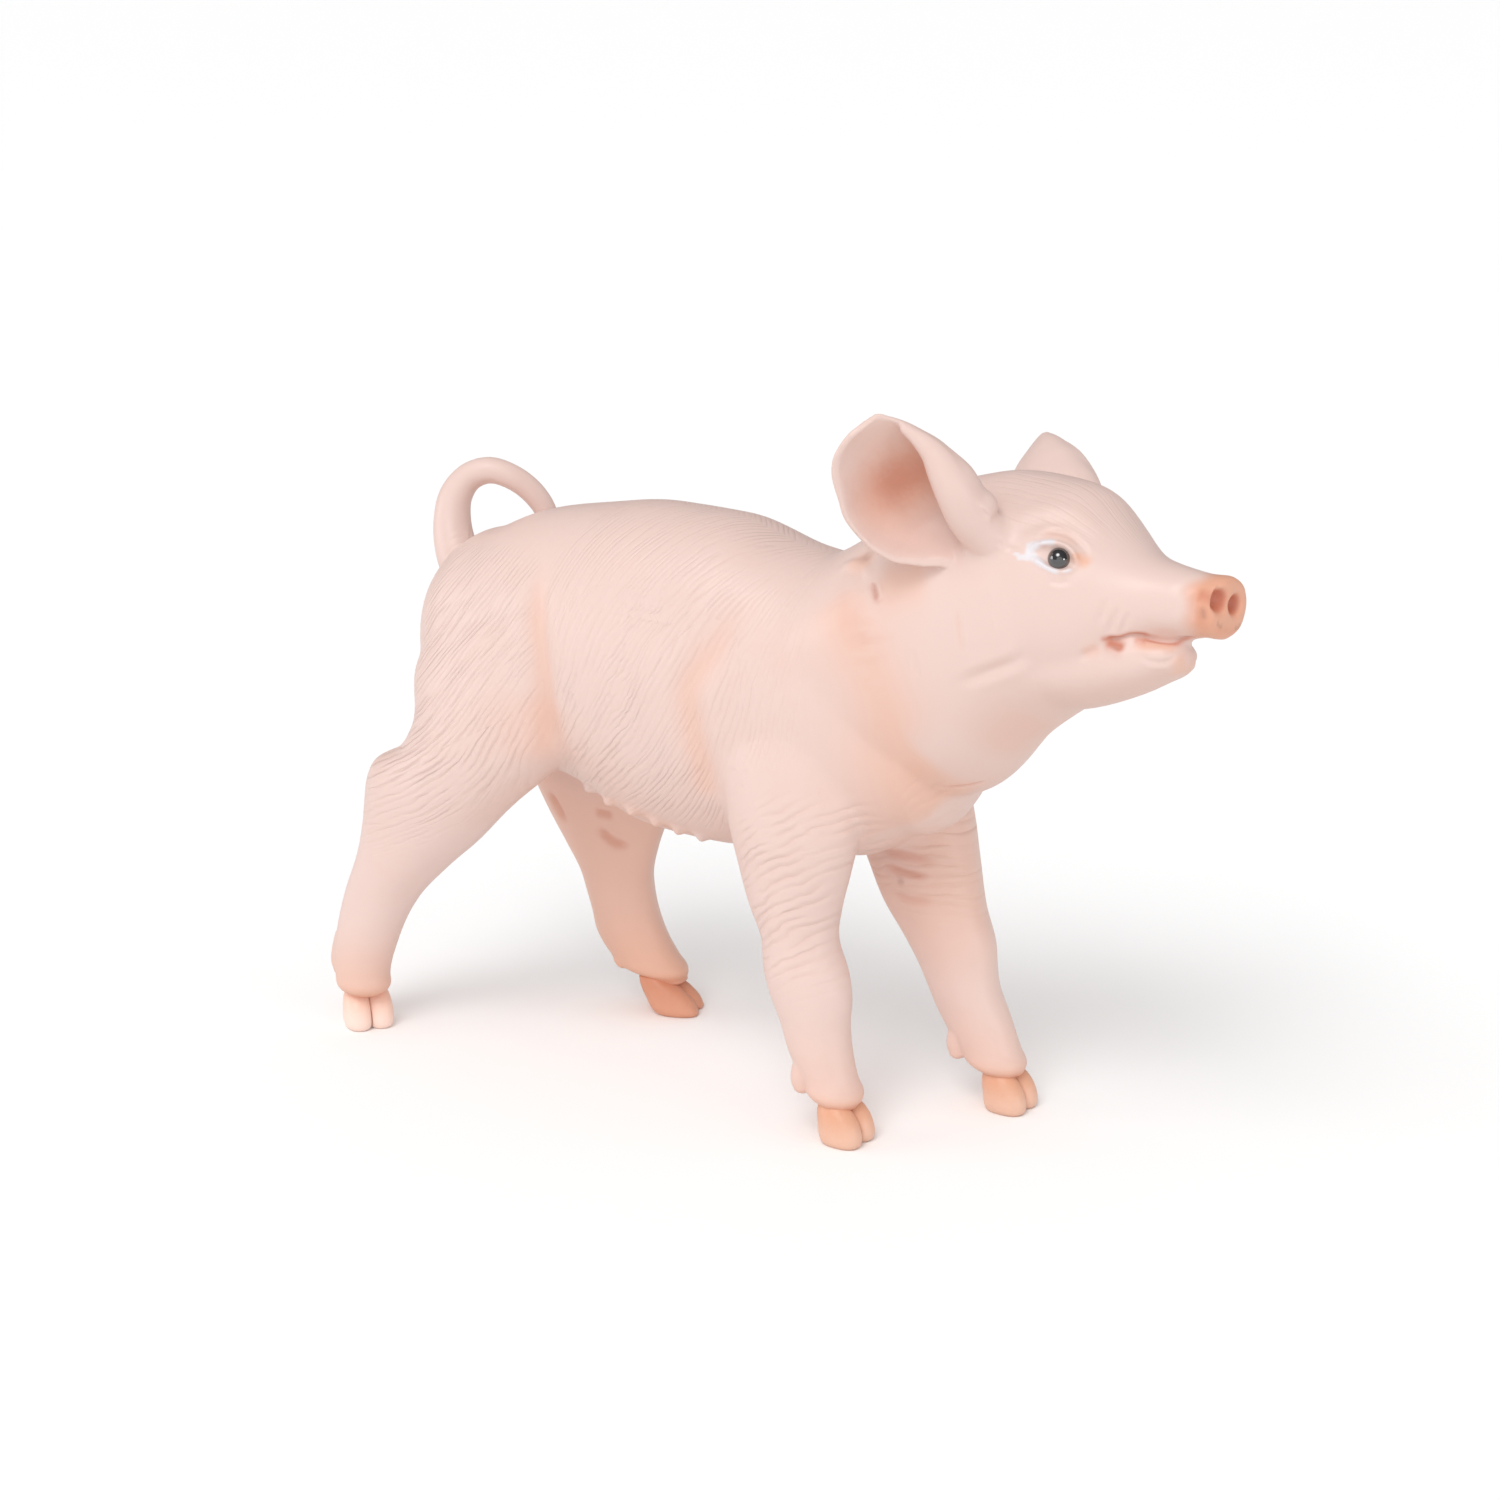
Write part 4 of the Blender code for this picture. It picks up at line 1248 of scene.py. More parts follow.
@dataclass(frozen=True)
class EyeFinish:
    """Gloss paint, black round a dark grey middle that is partly painted iris and partly painted
    reflection, under clear lacquer.
    """

    name: str = "eye_gloss"
    black: Colour = (0.003, 0.002, 0.002, 1.0)
    # The middle's grey: partly paint, partly painted reflection of the studio on the bead's face.
    iris_reflection_grey: Colour = (0.014, 0.013, 0.016, 1.0)

    def build(self, groups: Groups) -> bpy.types.Material:
        """The material, mixed by the bead's rim attribute with a faint unevenness.

        Args:
            groups: Shared effects.

        Returns:
            The material.
        """
        shop, made, shader = Shop.of_material(self.name)
        tone = shop.run("ShaderNodeGroup", shop.place(), node_tree=groups.mottle)[0]
        # The grey middle, partly a painted reflection, gives way to black towards the rim.
        share = shop.math("ADD", shop.channels("rim")[0], shop.math("MULTIPLY", tone, 0.3), clamp=True)
        shop.fill(shader, {"Base Color": shop.mix(share, self.iris_reflection_grey, self.black), "Roughness": 0.06,
                           "Specular IOR Level": 1.0, "Coat Weight": 1.0, "Coat IOR": 1.75,
                           "Coat Roughness": 0.03})
        return made


@dataclass(frozen=True)
class FloorFinish:
    """A plain pale studio floor."""

    name: str = "studio_floor"
    pale: Colour = (1.0, 1.0, 1.0, 1.0)
    returned: Colour = (0.88, 0.88, 0.88, 1.0)
    roughness: float = 0.9

    def build(self) -> bpy.types.Material:
        """The material, which throws a little less light back up than it shows."""
        shop, made, shader = Shop.of_material(self.name)
        seen = shop.node("ShaderNodeLightPath").outputs["Is Camera Ray"]
        shop.fill(shader, {"Base Color": shop.mix(seen, self.returned, self.pale),
                           "Roughness": self.roughness})
        return made


# ---------------------------------------------------------------- sub-assemblies
@dataclass(frozen=True)
class Face:
    """What is sculpted and painted on the head, in the head's frame, right side first.

    Lines about the eye are in the plane of the lids: places forward of the bead and above it.
    """

    head: Head
    # Folds about the eye: places, width, depth and, where they need them, ends and bank.
    eye_folds: tuple[tuple[object, ...], ...] = (
        (((-3.9, -0.1), (-2.8, 0.7), (-1.5, 1.25), (0.0, 1.5), (1.2, 1.15), (2.1, 0.25), (2.7, -0.3)),
         0.4, -0.7, (0.2, 0.2), 0.0),
        (((-3.4, -0.6), (-2.0, -1.15), (-0.6, -1.55), (0.8, -1.5), (1.8, -0.85), (2.4, -0.2)),
         0.34, -0.42, (0.2, 0.2), 0.0),
        (((-3.6, 1.7), (-1.6, 2.9), (0.4, 3.1), (2.4, 2.1), (3.6, 0.7)), 0.42, 0.26),
        (((-0.6, -2.9), (1.0, -2.8), (2.4, -1.9)), 0.34, 0.14),
        (((-7.4, -0.7), (-5.6, -0.5), (-4.2, -0.3)), 0.3, 0.12),
    )
    # White touches about the eye: places, width and strength.
    eye_whites: tuple[tuple[Rows, float, float], ...] = (
        (((-4.3, -0.1), (-3.4, 0.6), (-2.4, 1.15)), 0.62, 0.95),
        (((-3.0, 1.0), (-1.8, 1.5), (-0.6, 1.5)), 0.45, 0.95),
        (((-4.4, -0.4), (-3.0, -0.45), (-2.2, -0.8)), 0.55, 0.95),
        (((-2.7, -0.6), (-1.9, -0.9), (-1.3, -1.1)), 0.5, 0.95),
        (((-2.2, -1.1), (-1.2, -1.5), (-0.3, -1.75), (0.9, -1.75)), 0.36, 0.9),
        (((-5.2, -1.5), (-4.3, -1.1), (-3.3, -1.0)), 0.34, 0.85),
        (((-5.6, -0.9), (-4.6, -0.6)), 0.22, 0.7),
        (((0.8, -1.6), (1.6, -1.1), (2.1, -0.7)), 0.2, 0.7),
    )
    # Other paint about the eye, at its inner corner, in front of it and on the brow.
    eye_paints: tuple[tuple[Paint, Rows, float, float], ...] = (
        (Paint.RED, ((-2.9, 0.3), (-2.1, 0.6), (-1.5, 0.9)), 0.42, 0.3),
        (Paint.APRICOT, ((1.6, 1.7), (2.8, 0.7), (3.8, 0.1)), 0.8, 0.75),
        (Paint.APRICOT, ((-3.6, 1.9), (-1.6, 2.9), (0.4, 3.1), (2.4, 2.1)), 0.9, 0.22),
    )
    lips: Line = (
        (17.6, -0.8, -2.6), (16.5, -1.4, -3.0), (15.3, -2.2, -3.35), (13.6, -3.0, -3.45),
        (12.6, -3.8, -3.3), (11.8, -4.4, -3.4), (10.6, -5.1, -4.0), (9.2, -6.0, -4.25))
    cheek_fold: Line = ((-6.6, -12.5, -3.2), (-6.1, -12.0, -6.0), (-5.6, -11.5, -8.9))
    # Each nostril: ahead, left, top, half width and half height.
    nostrils: Rows = ((20.9, -2.3, 1.95, 1.3, 1.2), (20.9, 0.8, 1.7, 1.05, 1.05))

    def front(self, points: Array) -> Array:
        """Which points are on the front of the head."""
        local = self.head.where.to_head(points)
        return (local[:, 0] > -3.5) & (np.abs(local[:, 1]) < 13.5)

    def details(self, points: Array) -> Array:
        """Which points are about the eyes, the mouth and the disc of the snout.

        Args:
            points: The skin's points.

        Returns:
            True or false for each point.
        """
        local = self.head.where.to_head(points)
        x, y, z = local[:, 0], np.abs(local[:, 1]), local[:, 2]
        eye = np.linalg.norm(np.stack([x, y, z], 1) - np.asarray(self.head.bead_at), axis=1) < 4.5
        mouth = (x > 8.5) & (x < 18.5) & (y < 8.0) & (z > -6.2) & (z < -1.8)
        return eye | mouth | ((x > 18.6) & (y < 7.0))

    def eye_plane(self, pairs: Rows, hand: Hand) -> Line:
        """Places about the bead as points: forward p, up q, in the plane of the lids.

        Args:
            pairs: Forward and up of each place.
            hand: Which eye.

        Returns:
            The points in the head's frame.
        """
        out = unit(np.array([0.40, -0.86, 0.30]))
        front = unit(np.array(AHEAD) - out * out[0])
        up = np.cross(front, -out)
        up = up * np.sign(up[2])
        x, y, z = self.head.bead_at
        rows = np.array([x, -y, z]) + 0.9 * out + np.array(pairs) @ np.stack([front, up])
        line = tuple(tuple(row) for row in rows)
        return line if hand is Hand.RIGHT else mirrored(line)

    def placed(self, line: Line) -> Line:
        """A line of the head's frame in the figurine's layout."""
        return tuple(tuple(p) for p in self.head.where.to_body(line))

    def about_eyes(self, pairs: Rows) -> list[Line]:
        """A line about either eye, in the layout."""
        return [self.placed(self.eye_plane(pairs, hand)) for hand in Hand]

    def hollows(self) -> list[Hollow]:
        """Eye sockets, nostrils and the dish of the snout."""
        axes = self.head.where.axes()
        into_snout = tuple(-axes[:, 0])
        found = []
        for hand in Hand:
            corner = self.eye_plane(((-0.9, -0.05), (2.3, -0.35), (-1.2, 1.4)), hand)
            at, front, up = (np.array(p) for p in corner)
            first = front - at
            second = up - at - first * ((up - at) @ first) / (first @ first)
            out = np.cross(first, second)
            inward = -out * np.sign(out @ (0.40, hand.value * 0.86, 0.30))
            ways = (tuple(axes @ way) for way in (first, second, inward))
            found.append(Hollow(self.placed((corner[0],))[0], *ways, 0.2, 1.6))
        for x, y, z, wide, tall in self.nostrils:
            lean = 0.22 if y < 0 else -0.22
            ways = (tuple(axes @ (0.0, wide, -wide * lean)), tuple(axes @ (0.0, tall * lean, tall)))
            found.append(Hollow(self.placed(((x, y, z),))[0], *ways, into_snout, 1.35, 1.5, 0.35))
        found.append(Hollow(self.placed(((20.9, -0.3, 1.3),))[0], tuple(axes @ (0.0, 3.1, 0.0)),
                            tuple(axes @ (0.0, 0.0, 2.9)), into_snout, 0.22, 2.0))
        return found

    def furrows(self) -> list[Furrow]:
        """Lids, brow, lips, cheek and jaw lines on both sides."""
        found = [Furrow(line, *shape) for pairs, *shape in self.eye_folds
                 for line in self.about_eyes(pairs)]
        marks = (
            Furrow(self.lips, 0.28, 0.46, (0.02, 0.12), 0.0),
            Furrow(((9.2, -5.9, -4.4), (10.3, -5.3, -4.7), (11.5, -4.8, -5.0)), 0.5, 0.26),
            Furrow(((12.6, -4.4, -5.0), (13.8, -4.1, -5.8), (15.1, -3.5, -5.9), (16.2, -2.5, -5.2),
                    (16.4, -1.8, -4.3)), 0.34, 0.16),
            Furrow(((-2.6, -10.8, 5.0), (1.0, -9.0, 7.7), (4.4, -7.4, 7.1), (7.0, -7.0, 4.8)), 1.1, 0.28),
            Furrow(((-7.0, -10.5, -12.6), (-2.1, -10.0, -9.8), (0.3, -9.5, -8.4), (2.4, -9.0, -6.6)),
                   0.75, 0.3),
            Furrow(((9.5, -7.0, 0.7), (8.7, -7.1, -3.0)), 0.4, 0.12),
            Furrow(((10.8, -6.4, 0.0), (9.6, -6.0, -3.8)), 0.4, 0.13),
            Furrow(((11.9, -5.8, -0.4), (10.6, -5.1, -3.4)), 0.36, 0.11),
            Furrow(self.cheek_fold, 0.4, 0.13),
            Furrow(((-12.1, -12.5, -8.7), (-11.2, -11.4, -12.6)), 0.4, 0.12),
            Furrow(((6.4, -6.6, -6.9), (9.2, -6.2, -5.4)), 0.5, 0.18),
            Furrow(((18.6, -3.4, 3.0), (18.3, -3.9, 1.2), (18.6, -3.3, -1.0)), 0.45, 0.18),
            Furrow(((16.6, -3.0, 3.6), (16.2, -4.0, 1.2), (16.5, -3.4, -1.2)), 0.5, 0.1),
        )
        return found + on_both_sides(marks, self.placed)

    def sprays(self) -> list[Spray]:
        """White about the eyes, orange in the mouth, smudges on the snout, on both sides."""
        found = [Spray(Paint.WHITE, line, width, strength, (0.25, 0.25), 5.0)
                 for pairs, width, strength in self.eye_whites for line in self.about_eyes(pairs)]
        found += [Spray(paint, line, width, strength)
                  for paint, pairs, width, strength in self.eye_paints for line in self.about_eyes(pairs)]
        marks = (
            Spray(Paint.ORANGE, self.lips, 0.38, 0.7, (0.1, 0.0)),
            Spray(Paint.ORANGE, ((9.1, -6.0, -4.4), (10.3, -5.3, -4.7), (11.5, -4.8, -5.0)), 0.75, 0.9),
            Spray(Paint.BROWN, ((9.8, -5.6, -4.7), (11.0, -5.0, -5.1)), 0.35, 0.3),
            Spray(Paint.ORANGE, ((11.7, -4.4, -3.9), (12.4, -4.0, -3.8), (13.3, -3.4, -3.8)), 0.5, 0.5),
            Spray(Paint.APRICOT, ((11.6, -4.5, -4.3), (14.4, -3.2, -4.1), (17.0, -1.6, -3.6)), 0.8, 0.6),
            Spray(Paint.APRICOT, ((16.6, -2.2, -4.2), (16.9, -1.2, -6.2), (16.0, -0.4, -7.6)), 1.2, 0.45),
            Spray(Paint.APRICOT, ((6.9, -6.8, -6.4), (9.2, -6.2, -5.2)), 0.8, 0.3),
            Spray(Paint.BROWN, ((19.5, -3.8, 1.3), (19.8, -3.7, 0.3), (20.0, -3.4, -0.6)), 0.4, 0.5,
                  (0.4, 0.4), 1.6),
            Spray(Paint.ORANGE, ((19.0, -3.0, 3.0), (19.4, -3.9, 1.2), (19.5, -3.6, -0.6),
                                 (19.6, -2.4, -1.8)), 1.0, 0.22),
            Spray(Paint.ORANGE, ((20.9, -2.4, -0.6), (20.9, -1.2, -1.3), (20.9, 0.4, -1.0)), 0.6, 0.2),
            Spray(Paint.BROWN, ((21.1, -2.4, 0.1), (21.1, -2.1, -0.8), (21.1, -1.5, -0.9),
                                (21.1, -1.3, -0.3)), 0.2, 0.4),
            Spray(Paint.APRICOT, (self.cheek_fold[0], self.cheek_fold[-1]), 0.35, 0.15),
        )
        return found + on_both_sides(marks, self.placed)

    def tint(self, hide: Hide, cover: Cover) -> None:
        """Colours the snout by its distance ahead, and the nostrils by their depth.

        Args:
            hide: The skin.
            cover: Cover of each point by each paint, changed in place.
        """
        local = self.head.where.to_head(hide.points)
        close = (np.abs(local[:, 1]) < 7.0) & (np.abs(local[:, 2]) < 9.0)
        spots = np.nonzero(close & (local[:, 0] > 14.0))[0]
        ahead, left, top = local[spots].T
        wander = 0.35 * np.sin(1.3 * top + 1.0) + 0.25 * np.sin(2.1 * left)
        back = smooth(ahead, 16.7 + wander, 19.5 + wander)
        add_paint(cover[Paint.APRICOT], spots, 0.9 * back)
        add_paint(cover[Paint.ORANGE], spots, 0.2 * back)
        for x, y, z, wide, tall in self.nostrils:
            gap = np.hypot((left - y) / wide, (top - z) / tall)
            pit = smooth(gap, 1.3, 0.8) * smooth(ahead, x - 2.6, x - 1.6)
            add_paint(cover[Paint.ORANGE], spots, 0.95 * pit)
            add_paint(cover[Paint.RED], spots, 0.3 * pit)


@dataclass(frozen=True)
class Folds:
    """What is sculpted and painted on trunk, neck and legs, in the layout."""

    haunch: Line = (
        (-22.8, -9.8, 68.1), (-23.1, -11.9, 65.0), (-22.5, -13.7, 60.4), (-21.5, -14.4, 55.6),
        (-21.1, -14.2, 50.5), (-21.2, -13.6, 45.1), (-22.8, -10.5, 40.2))
    shoulder: Line = (
        (9.0, -8.8, 67.5), (7.5, -10.9, 65.7), (5.0, -12.8, 63.2), (4.0, -14.0, 60.6),
        (2.3, -14.7, 58.1), (0.8, -15.1, 55.3), (1.0, -15.0, 50.9), (1.8, -14.0, 45.7),
        (1.5, -11.9, 39.9))
    band: Line = (
        (19.0, -11.0, 69.5), (22.5, -13.7, 63.9), (24.9, -14.1, 61.0), (26.8, -14.0, 57.8),
        (28.6, -13.5, 54.4), (31.4, -11.9, 50.8))
    seam: Line = ((31.6, -8.3, 46.1), (33.8, -7.4, 46.6), (36.4, -6.2, 47.0))
    teats: Line = (
        (-19.5, -8.4, 37.0), (-15.6, -8.8, 36.7), (-11.6, -9.2, 36.4), (-8.6, -8.3, 35.2),
        (-5.8, -7.4, 34.4), (-2.8, -6.7, 33.9))
    # Creases inside the left legs: line, width and depth, width and strength of their paint.
    inside: tuple[tuple[Line, float, float, float, float], ...] = (
        (((-35.1, 6.4, 31.9), (-34.6, 6.2, 29.0), (-33.6, 6.6, 26.2)), 0.8, 0.4, 1.0, 0.4),
        (((-28.2, 6.0, 29.9), (-25.0, 6.4, 29.4)), 0.6, 0.35, 0.8, 0.35),
        (((-28.4, 6.6, 27.4), (-25.9, 7.2, 25.2), (-23.8, 8.6, 24.4)), 0.6, 0.35, 0.8, 0.4),
        (((16.9, 3.0, 33.6), (20.9, 2.8, 32.8), (24.9, 4.2, 32.2)), 0.5, 0.2, 0.8, 0.32),
        (((17.6, 3.2, 31.2), (20.9, 3.0, 30.6), (24.0, 4.0, 30.2)), 0.45, 0.25, 0.6, 0.4),
        (((18.6, 3.3, 27.6), (21.6, 3.3, 27.0), (24.4, 4.2, 27.4)), 0.45, 0.18, 0.6, 0.22),
    )
    coronet: float = 4.6

    def furrows(self) -> list[Furrow]:
        """Creases and teats on both sides, the ear's root and the folds inside the left legs."""
        found = on_both_sides((
            Furrow(self.haunch, 1.5, 0.5, (0.3, 0.25), 0.3),
            Furrow(self.shoulder, 1.9, 0.42, (0.5, 0.15), 0.3),
            Furrow(self.seam, 0.28, 0.3, (0.3, 0.2), 0.0),
            *(Furrow((spot,), 0.85, -0.75, (0.0, 0.0), 0.0) for spot in self.teats),
        ))
        found.append(Furrow(((24.0, -11.9, 70.6), (25.5, -13.1, 68.7)), 0.4, 0.35))
        found.append(Furrow(((17.2, -8.0, 70.7), (21.6, -10.0, 71.7), (23.9, -11.9, 70.4)), 0.7, -0.35))
        return found + [Furrow(line, width, depth) for line, width, depth, _, _ in self.inside]

    def coronets(self, points: Array, legs: Sequence[Leg]) -> Array:
        """A groove round each leg just above its claws, with a fuller rim above it.

        Args:
            points: The skin's points.
            legs: The four legs.

        Returns:
            How far each point is pushed in.
        """
        z = points[:, 2]
        ring = (0.35 * bell(z, self.coronet, 0.7) - 0.22 * bell(z, 6.2, 0.9)) * (z < 9.0)
        ends = (np.array(leg.stations[-1][:2]) for leg in legs)
        return sum(ring * (np.linalg.norm(points[:, :2] - end, axis=1) < 8.0) for end in ends)

    def sprays(self) -> list[Spray]:
        """Apricot in the creases and, as paint and painted shadow, under the right ear; brown and red at
        the ear's root, orange inside the left legs.
        """
        found = on_both_sides((
            Spray(Paint.APRICOT, self.haunch, 1.6, 0.34),
            Spray(Paint.APRICOT, ((-21.3, -14.2, 52.0), (-22.6, -14.0, 46.0), (-24.0, -12.5, 41.5)),
                  5.0, 0.24),
            Spray(Paint.APRICOT, self.shoulder, 2.0, 0.34, (0.5, 0.1)),
            Spray(Paint.APRICOT, self.band, 4.4, 0.42, (0.15, 0.25), 1.5),
            Spray(Paint.APRICOT, ((32.5, -11.5, 51.0), (28.5, -10.5, 47.5), (29.5, -4.5, 43.0)),
                  7.0, 0.52, (0.2, 0.2), 1.5),
            Spray(Paint.APRICOT, ((38.0, -8.0, 50.0), (46.0, -8.5, 56.0)), 6.0, 0.2),
            Spray(Paint.ORANGE, self.seam, 0.3, 0.4),
            Spray(Paint.APRICOT, self.teats, 1.6, 0.3),
        ))
        found += [
            Spray(Paint.ORANGE, ((18.8, -9.8, 70.2), (20.2, -12.0, 67.0), (22.4, -13.6, 62.5)), 0.9, 0.12),
            Spray(Paint.ORANGE, ((21.4, -12.2, 68.4), (23.8, -13.6, 64.6), (25.6, -14.2, 60.5)), 0.9, 0.14),
            Spray(Paint.BROWN, ((20.6, -8.4, 72.6), (21.6, -9.1, 72.6), (22.6, -9.9, 72.2)), 0.9, 0.35),
            Spray(Paint.APRICOT, ((18.6, -8.4, 72.0), (23.4, -10.8, 71.8)), 1.6, 0.4),
            Spray(Paint.RED, ((23.9, -11.8, 70.8), (25.8, -13.3, 68.0)), 0.38, 0.42),
            # Apricot under the right ear: partly its paint, partly painted shadow of the ear.
            Spray(Paint.APRICOT, ((24.5, -12.2, 70.0), (28.5, -13.0, 71.2), (33.0, -12.8, 72.2)), 3.0, 0.4),
            Spray(Paint.BROWN, ((19.6, 2.9, 29.4), (20.8, 2.9, 29.2)), 0.5, 0.4),
        ]
        return found + [Spray(Paint.ORANGE, line, width, strength)
                        for line, _, _, width, strength in self.inside]

    def tint(self, hide: Hide, cover: Cover) -> None:
        """Lays painted shade, in apricot, on the belly and other downward-facing skin above 30 mm, and
        warms the insides of the left legs and the coronets.

        Args:
            hide: The skin.
            cover: Cover of each point by each paint, changed in place.
        """
        x, y, z = hide.points.T
        # Painted shade: apricot on skin that faces down, from 30 mm up, for the shade under belly, chest
        # and jaw.
        below = smooth(-hide.normals[:, 2], 0.2, 0.9) * smooth(z, 30.0, 34.0)
        hind = smooth(z, 44.0, 34.0) * smooth(y, 2.0, 6.0) * smooth(x, -10.0, -16.0)
        fore = smooth(z, 46.0, 34.0) * smooth(y, 1.0, 4.0) * smooth(x, 6.0, 12.0)
        inner = 0.2 + 0.8 * smooth(-hide.normals[:, 1], -0.7, 0.3)
        foot = np.where(x < -10.0, 0.42, 0.22) * smooth(z, 17.0, 6.0)
        for share in (0.22 * below, 0.48 * hind * inner, 0.36 * fore * inner * smooth(z, 10.0, 30.0),
                      0.75 * bell(z, self.coronet, 1.5), foot):
            add_paint(cover[Paint.APRICOT], slice(None), share)
        add_paint(cover[Paint.ORANGE], slice(None), 0.3 * bell(z, self.coronet, 0.7))


@dataclass(frozen=True)
class Combing:
    """How the sculpted hair lies on one part of the side, from a few given directions.

    A place on the side is (x, g), g being the girth down from the spine. Each pin is x, g and how
    many degrees below level, towards the rear, the hair runs there.
    """

    pins: Rows
    reach: float = 6.0
    level: float = -2.0
    low: tuple[float, float] = (-64.0, -2.0)
    high: tuple[float, float] = (34.0, 62.0)
    stride: float = 0.8
    strides: int = 260

    def direction(self, places: Array) -> Array:
        """The mean of the pins' directions, weighed by exp(-(distance / reach)^2 / 2).

        Args:
            places: Places on the side.

        Returns:
            The way that the hair runs at each, never quite level.
        """
        pins = np.array(self.pins)
        square = ((places[:, None, :] - pins[None, :, :2]) ** 2).sum(-1)
        weight = np.exp(-square / (2 * self.reach**2)) + 1e-6 / (1.0 + square)
        slope = np.radians(pins[:, 2])
        way = weight @ np.stack([-np.cos(slope), np.sin(slope)], 1)
        way[:, 1] = np.maximum(way[:, 1], 0.12 * np.abs(way[:, 0]))
        return unit(way)

    def chart(self) -> tuple[Array, Array, Array]:
        """Numbers the strands over a grid of places, a millimetre apart.

        Each place is carried back up along the hair, in short steps, until it reaches the level
        line; the x at which it lands numbers its strand, and the way walked is its place along it.

        Returns:
            Strand number, place along the strand and crowding (log2 of strands per millimetre).
        """
        axes = [np.arange(low, high + 1.0) for low, high in zip(self.low, self.high)]
        spots = np.stack(np.meshgrid(*axes, indexing="ij"), -1)
        shape = spots.shape[:2]
        spots = spots.reshape(-1, 2)
        walked = np.zeros(len(spots))
        for _ in range(self.strides):
            way = self.direction(spots)
            step = np.clip((spots[:, 1] - self.level) / way[:, 1], 0.0, self.stride)
            spots = spots - way * step[:, None]
            walked += step
        strand = spots[:, 0].reshape(shape)
        dense = np.hypot(*np.gradient(strand))
        return strand, walked.reshape(shape), np.log2(np.clip(dense, 0.3, 12.0))

    def read(self, places: Array) -> Array:
        """The chart's three numbers at each place, taken between grid places in proportion.

        Args:
            places: Places on the side.

        Returns:
            One row of three numbers for each.
        """
        at = np.clip(places - np.asarray(self.low), 0.0, None)
        at = np.minimum(at, np.asarray(self.high) - np.asarray(self.low) - 1e-6)
        i, j = at.astype(int).T
        u, v = (at - at.astype(int)).T
        rows = []
        for grid in self.chart():
            near = grid[i, j] * (1 - v) + grid[i, j + 1] * v
            far = grid[i + 1, j] * (1 - v) + grid[i + 1, j + 1] * v
            rows.append(near * (1 - u) + far * u)
        return np.stack(rows, 1)


def girth(points: Array) -> Array:
    """Girth from the spine: round a 17 mm barrel above z = 54, straight down below it.

    Args:
        points: The skin's points.

    Returns:
        The girth at each point.
    """
    y = np.abs(points[:, 1])
    rise = points[:, 2] - 54.0
    return np.where(rise > 0, 17.0 * np.arctan2(y, rise), 26.7 - rise)


@dataclass(frozen=True)
class Wrinkles:
    """Slanting wrinkles round one foreleg: slope in degrees, heights, front edge and depth."""

    hand: Hand
    slant: float
    low: float
    high: float
    front: float
    strength: float

    def cut(self, points: Array) -> tuple[Array, Array]:
        """Grooves across the slanted height, sagging behind the leg's front.

        Args:
            points: The skin's points.

        Returns:
            Three comb numbers and a depth for each point.
        """
        x, y, z = points.T
        side = y * self.hand.value
        slant = radians(self.slant)
        across = z * cos(slant) - x * sin(slant) + 0.02 * (x - self.front + 6.0) ** 2
        along = x * cos(slant) + z * sin(slant)
        share = smooth(z, self.low, self.low + 7.0) * smooth(z, self.high + 2.0, self.high - 3.0)
        share = share * smooth(x, 6.0, 9.5) * smooth(side, 1.0, 4.0)
        share = share * np.maximum(smooth(x, self.front + 4.0, self.front), smooth(z, 38.0, 34.0))
        return np.stack([0.62 * across, 1.5 * along, 0.0 * x], 1), self.strength * share


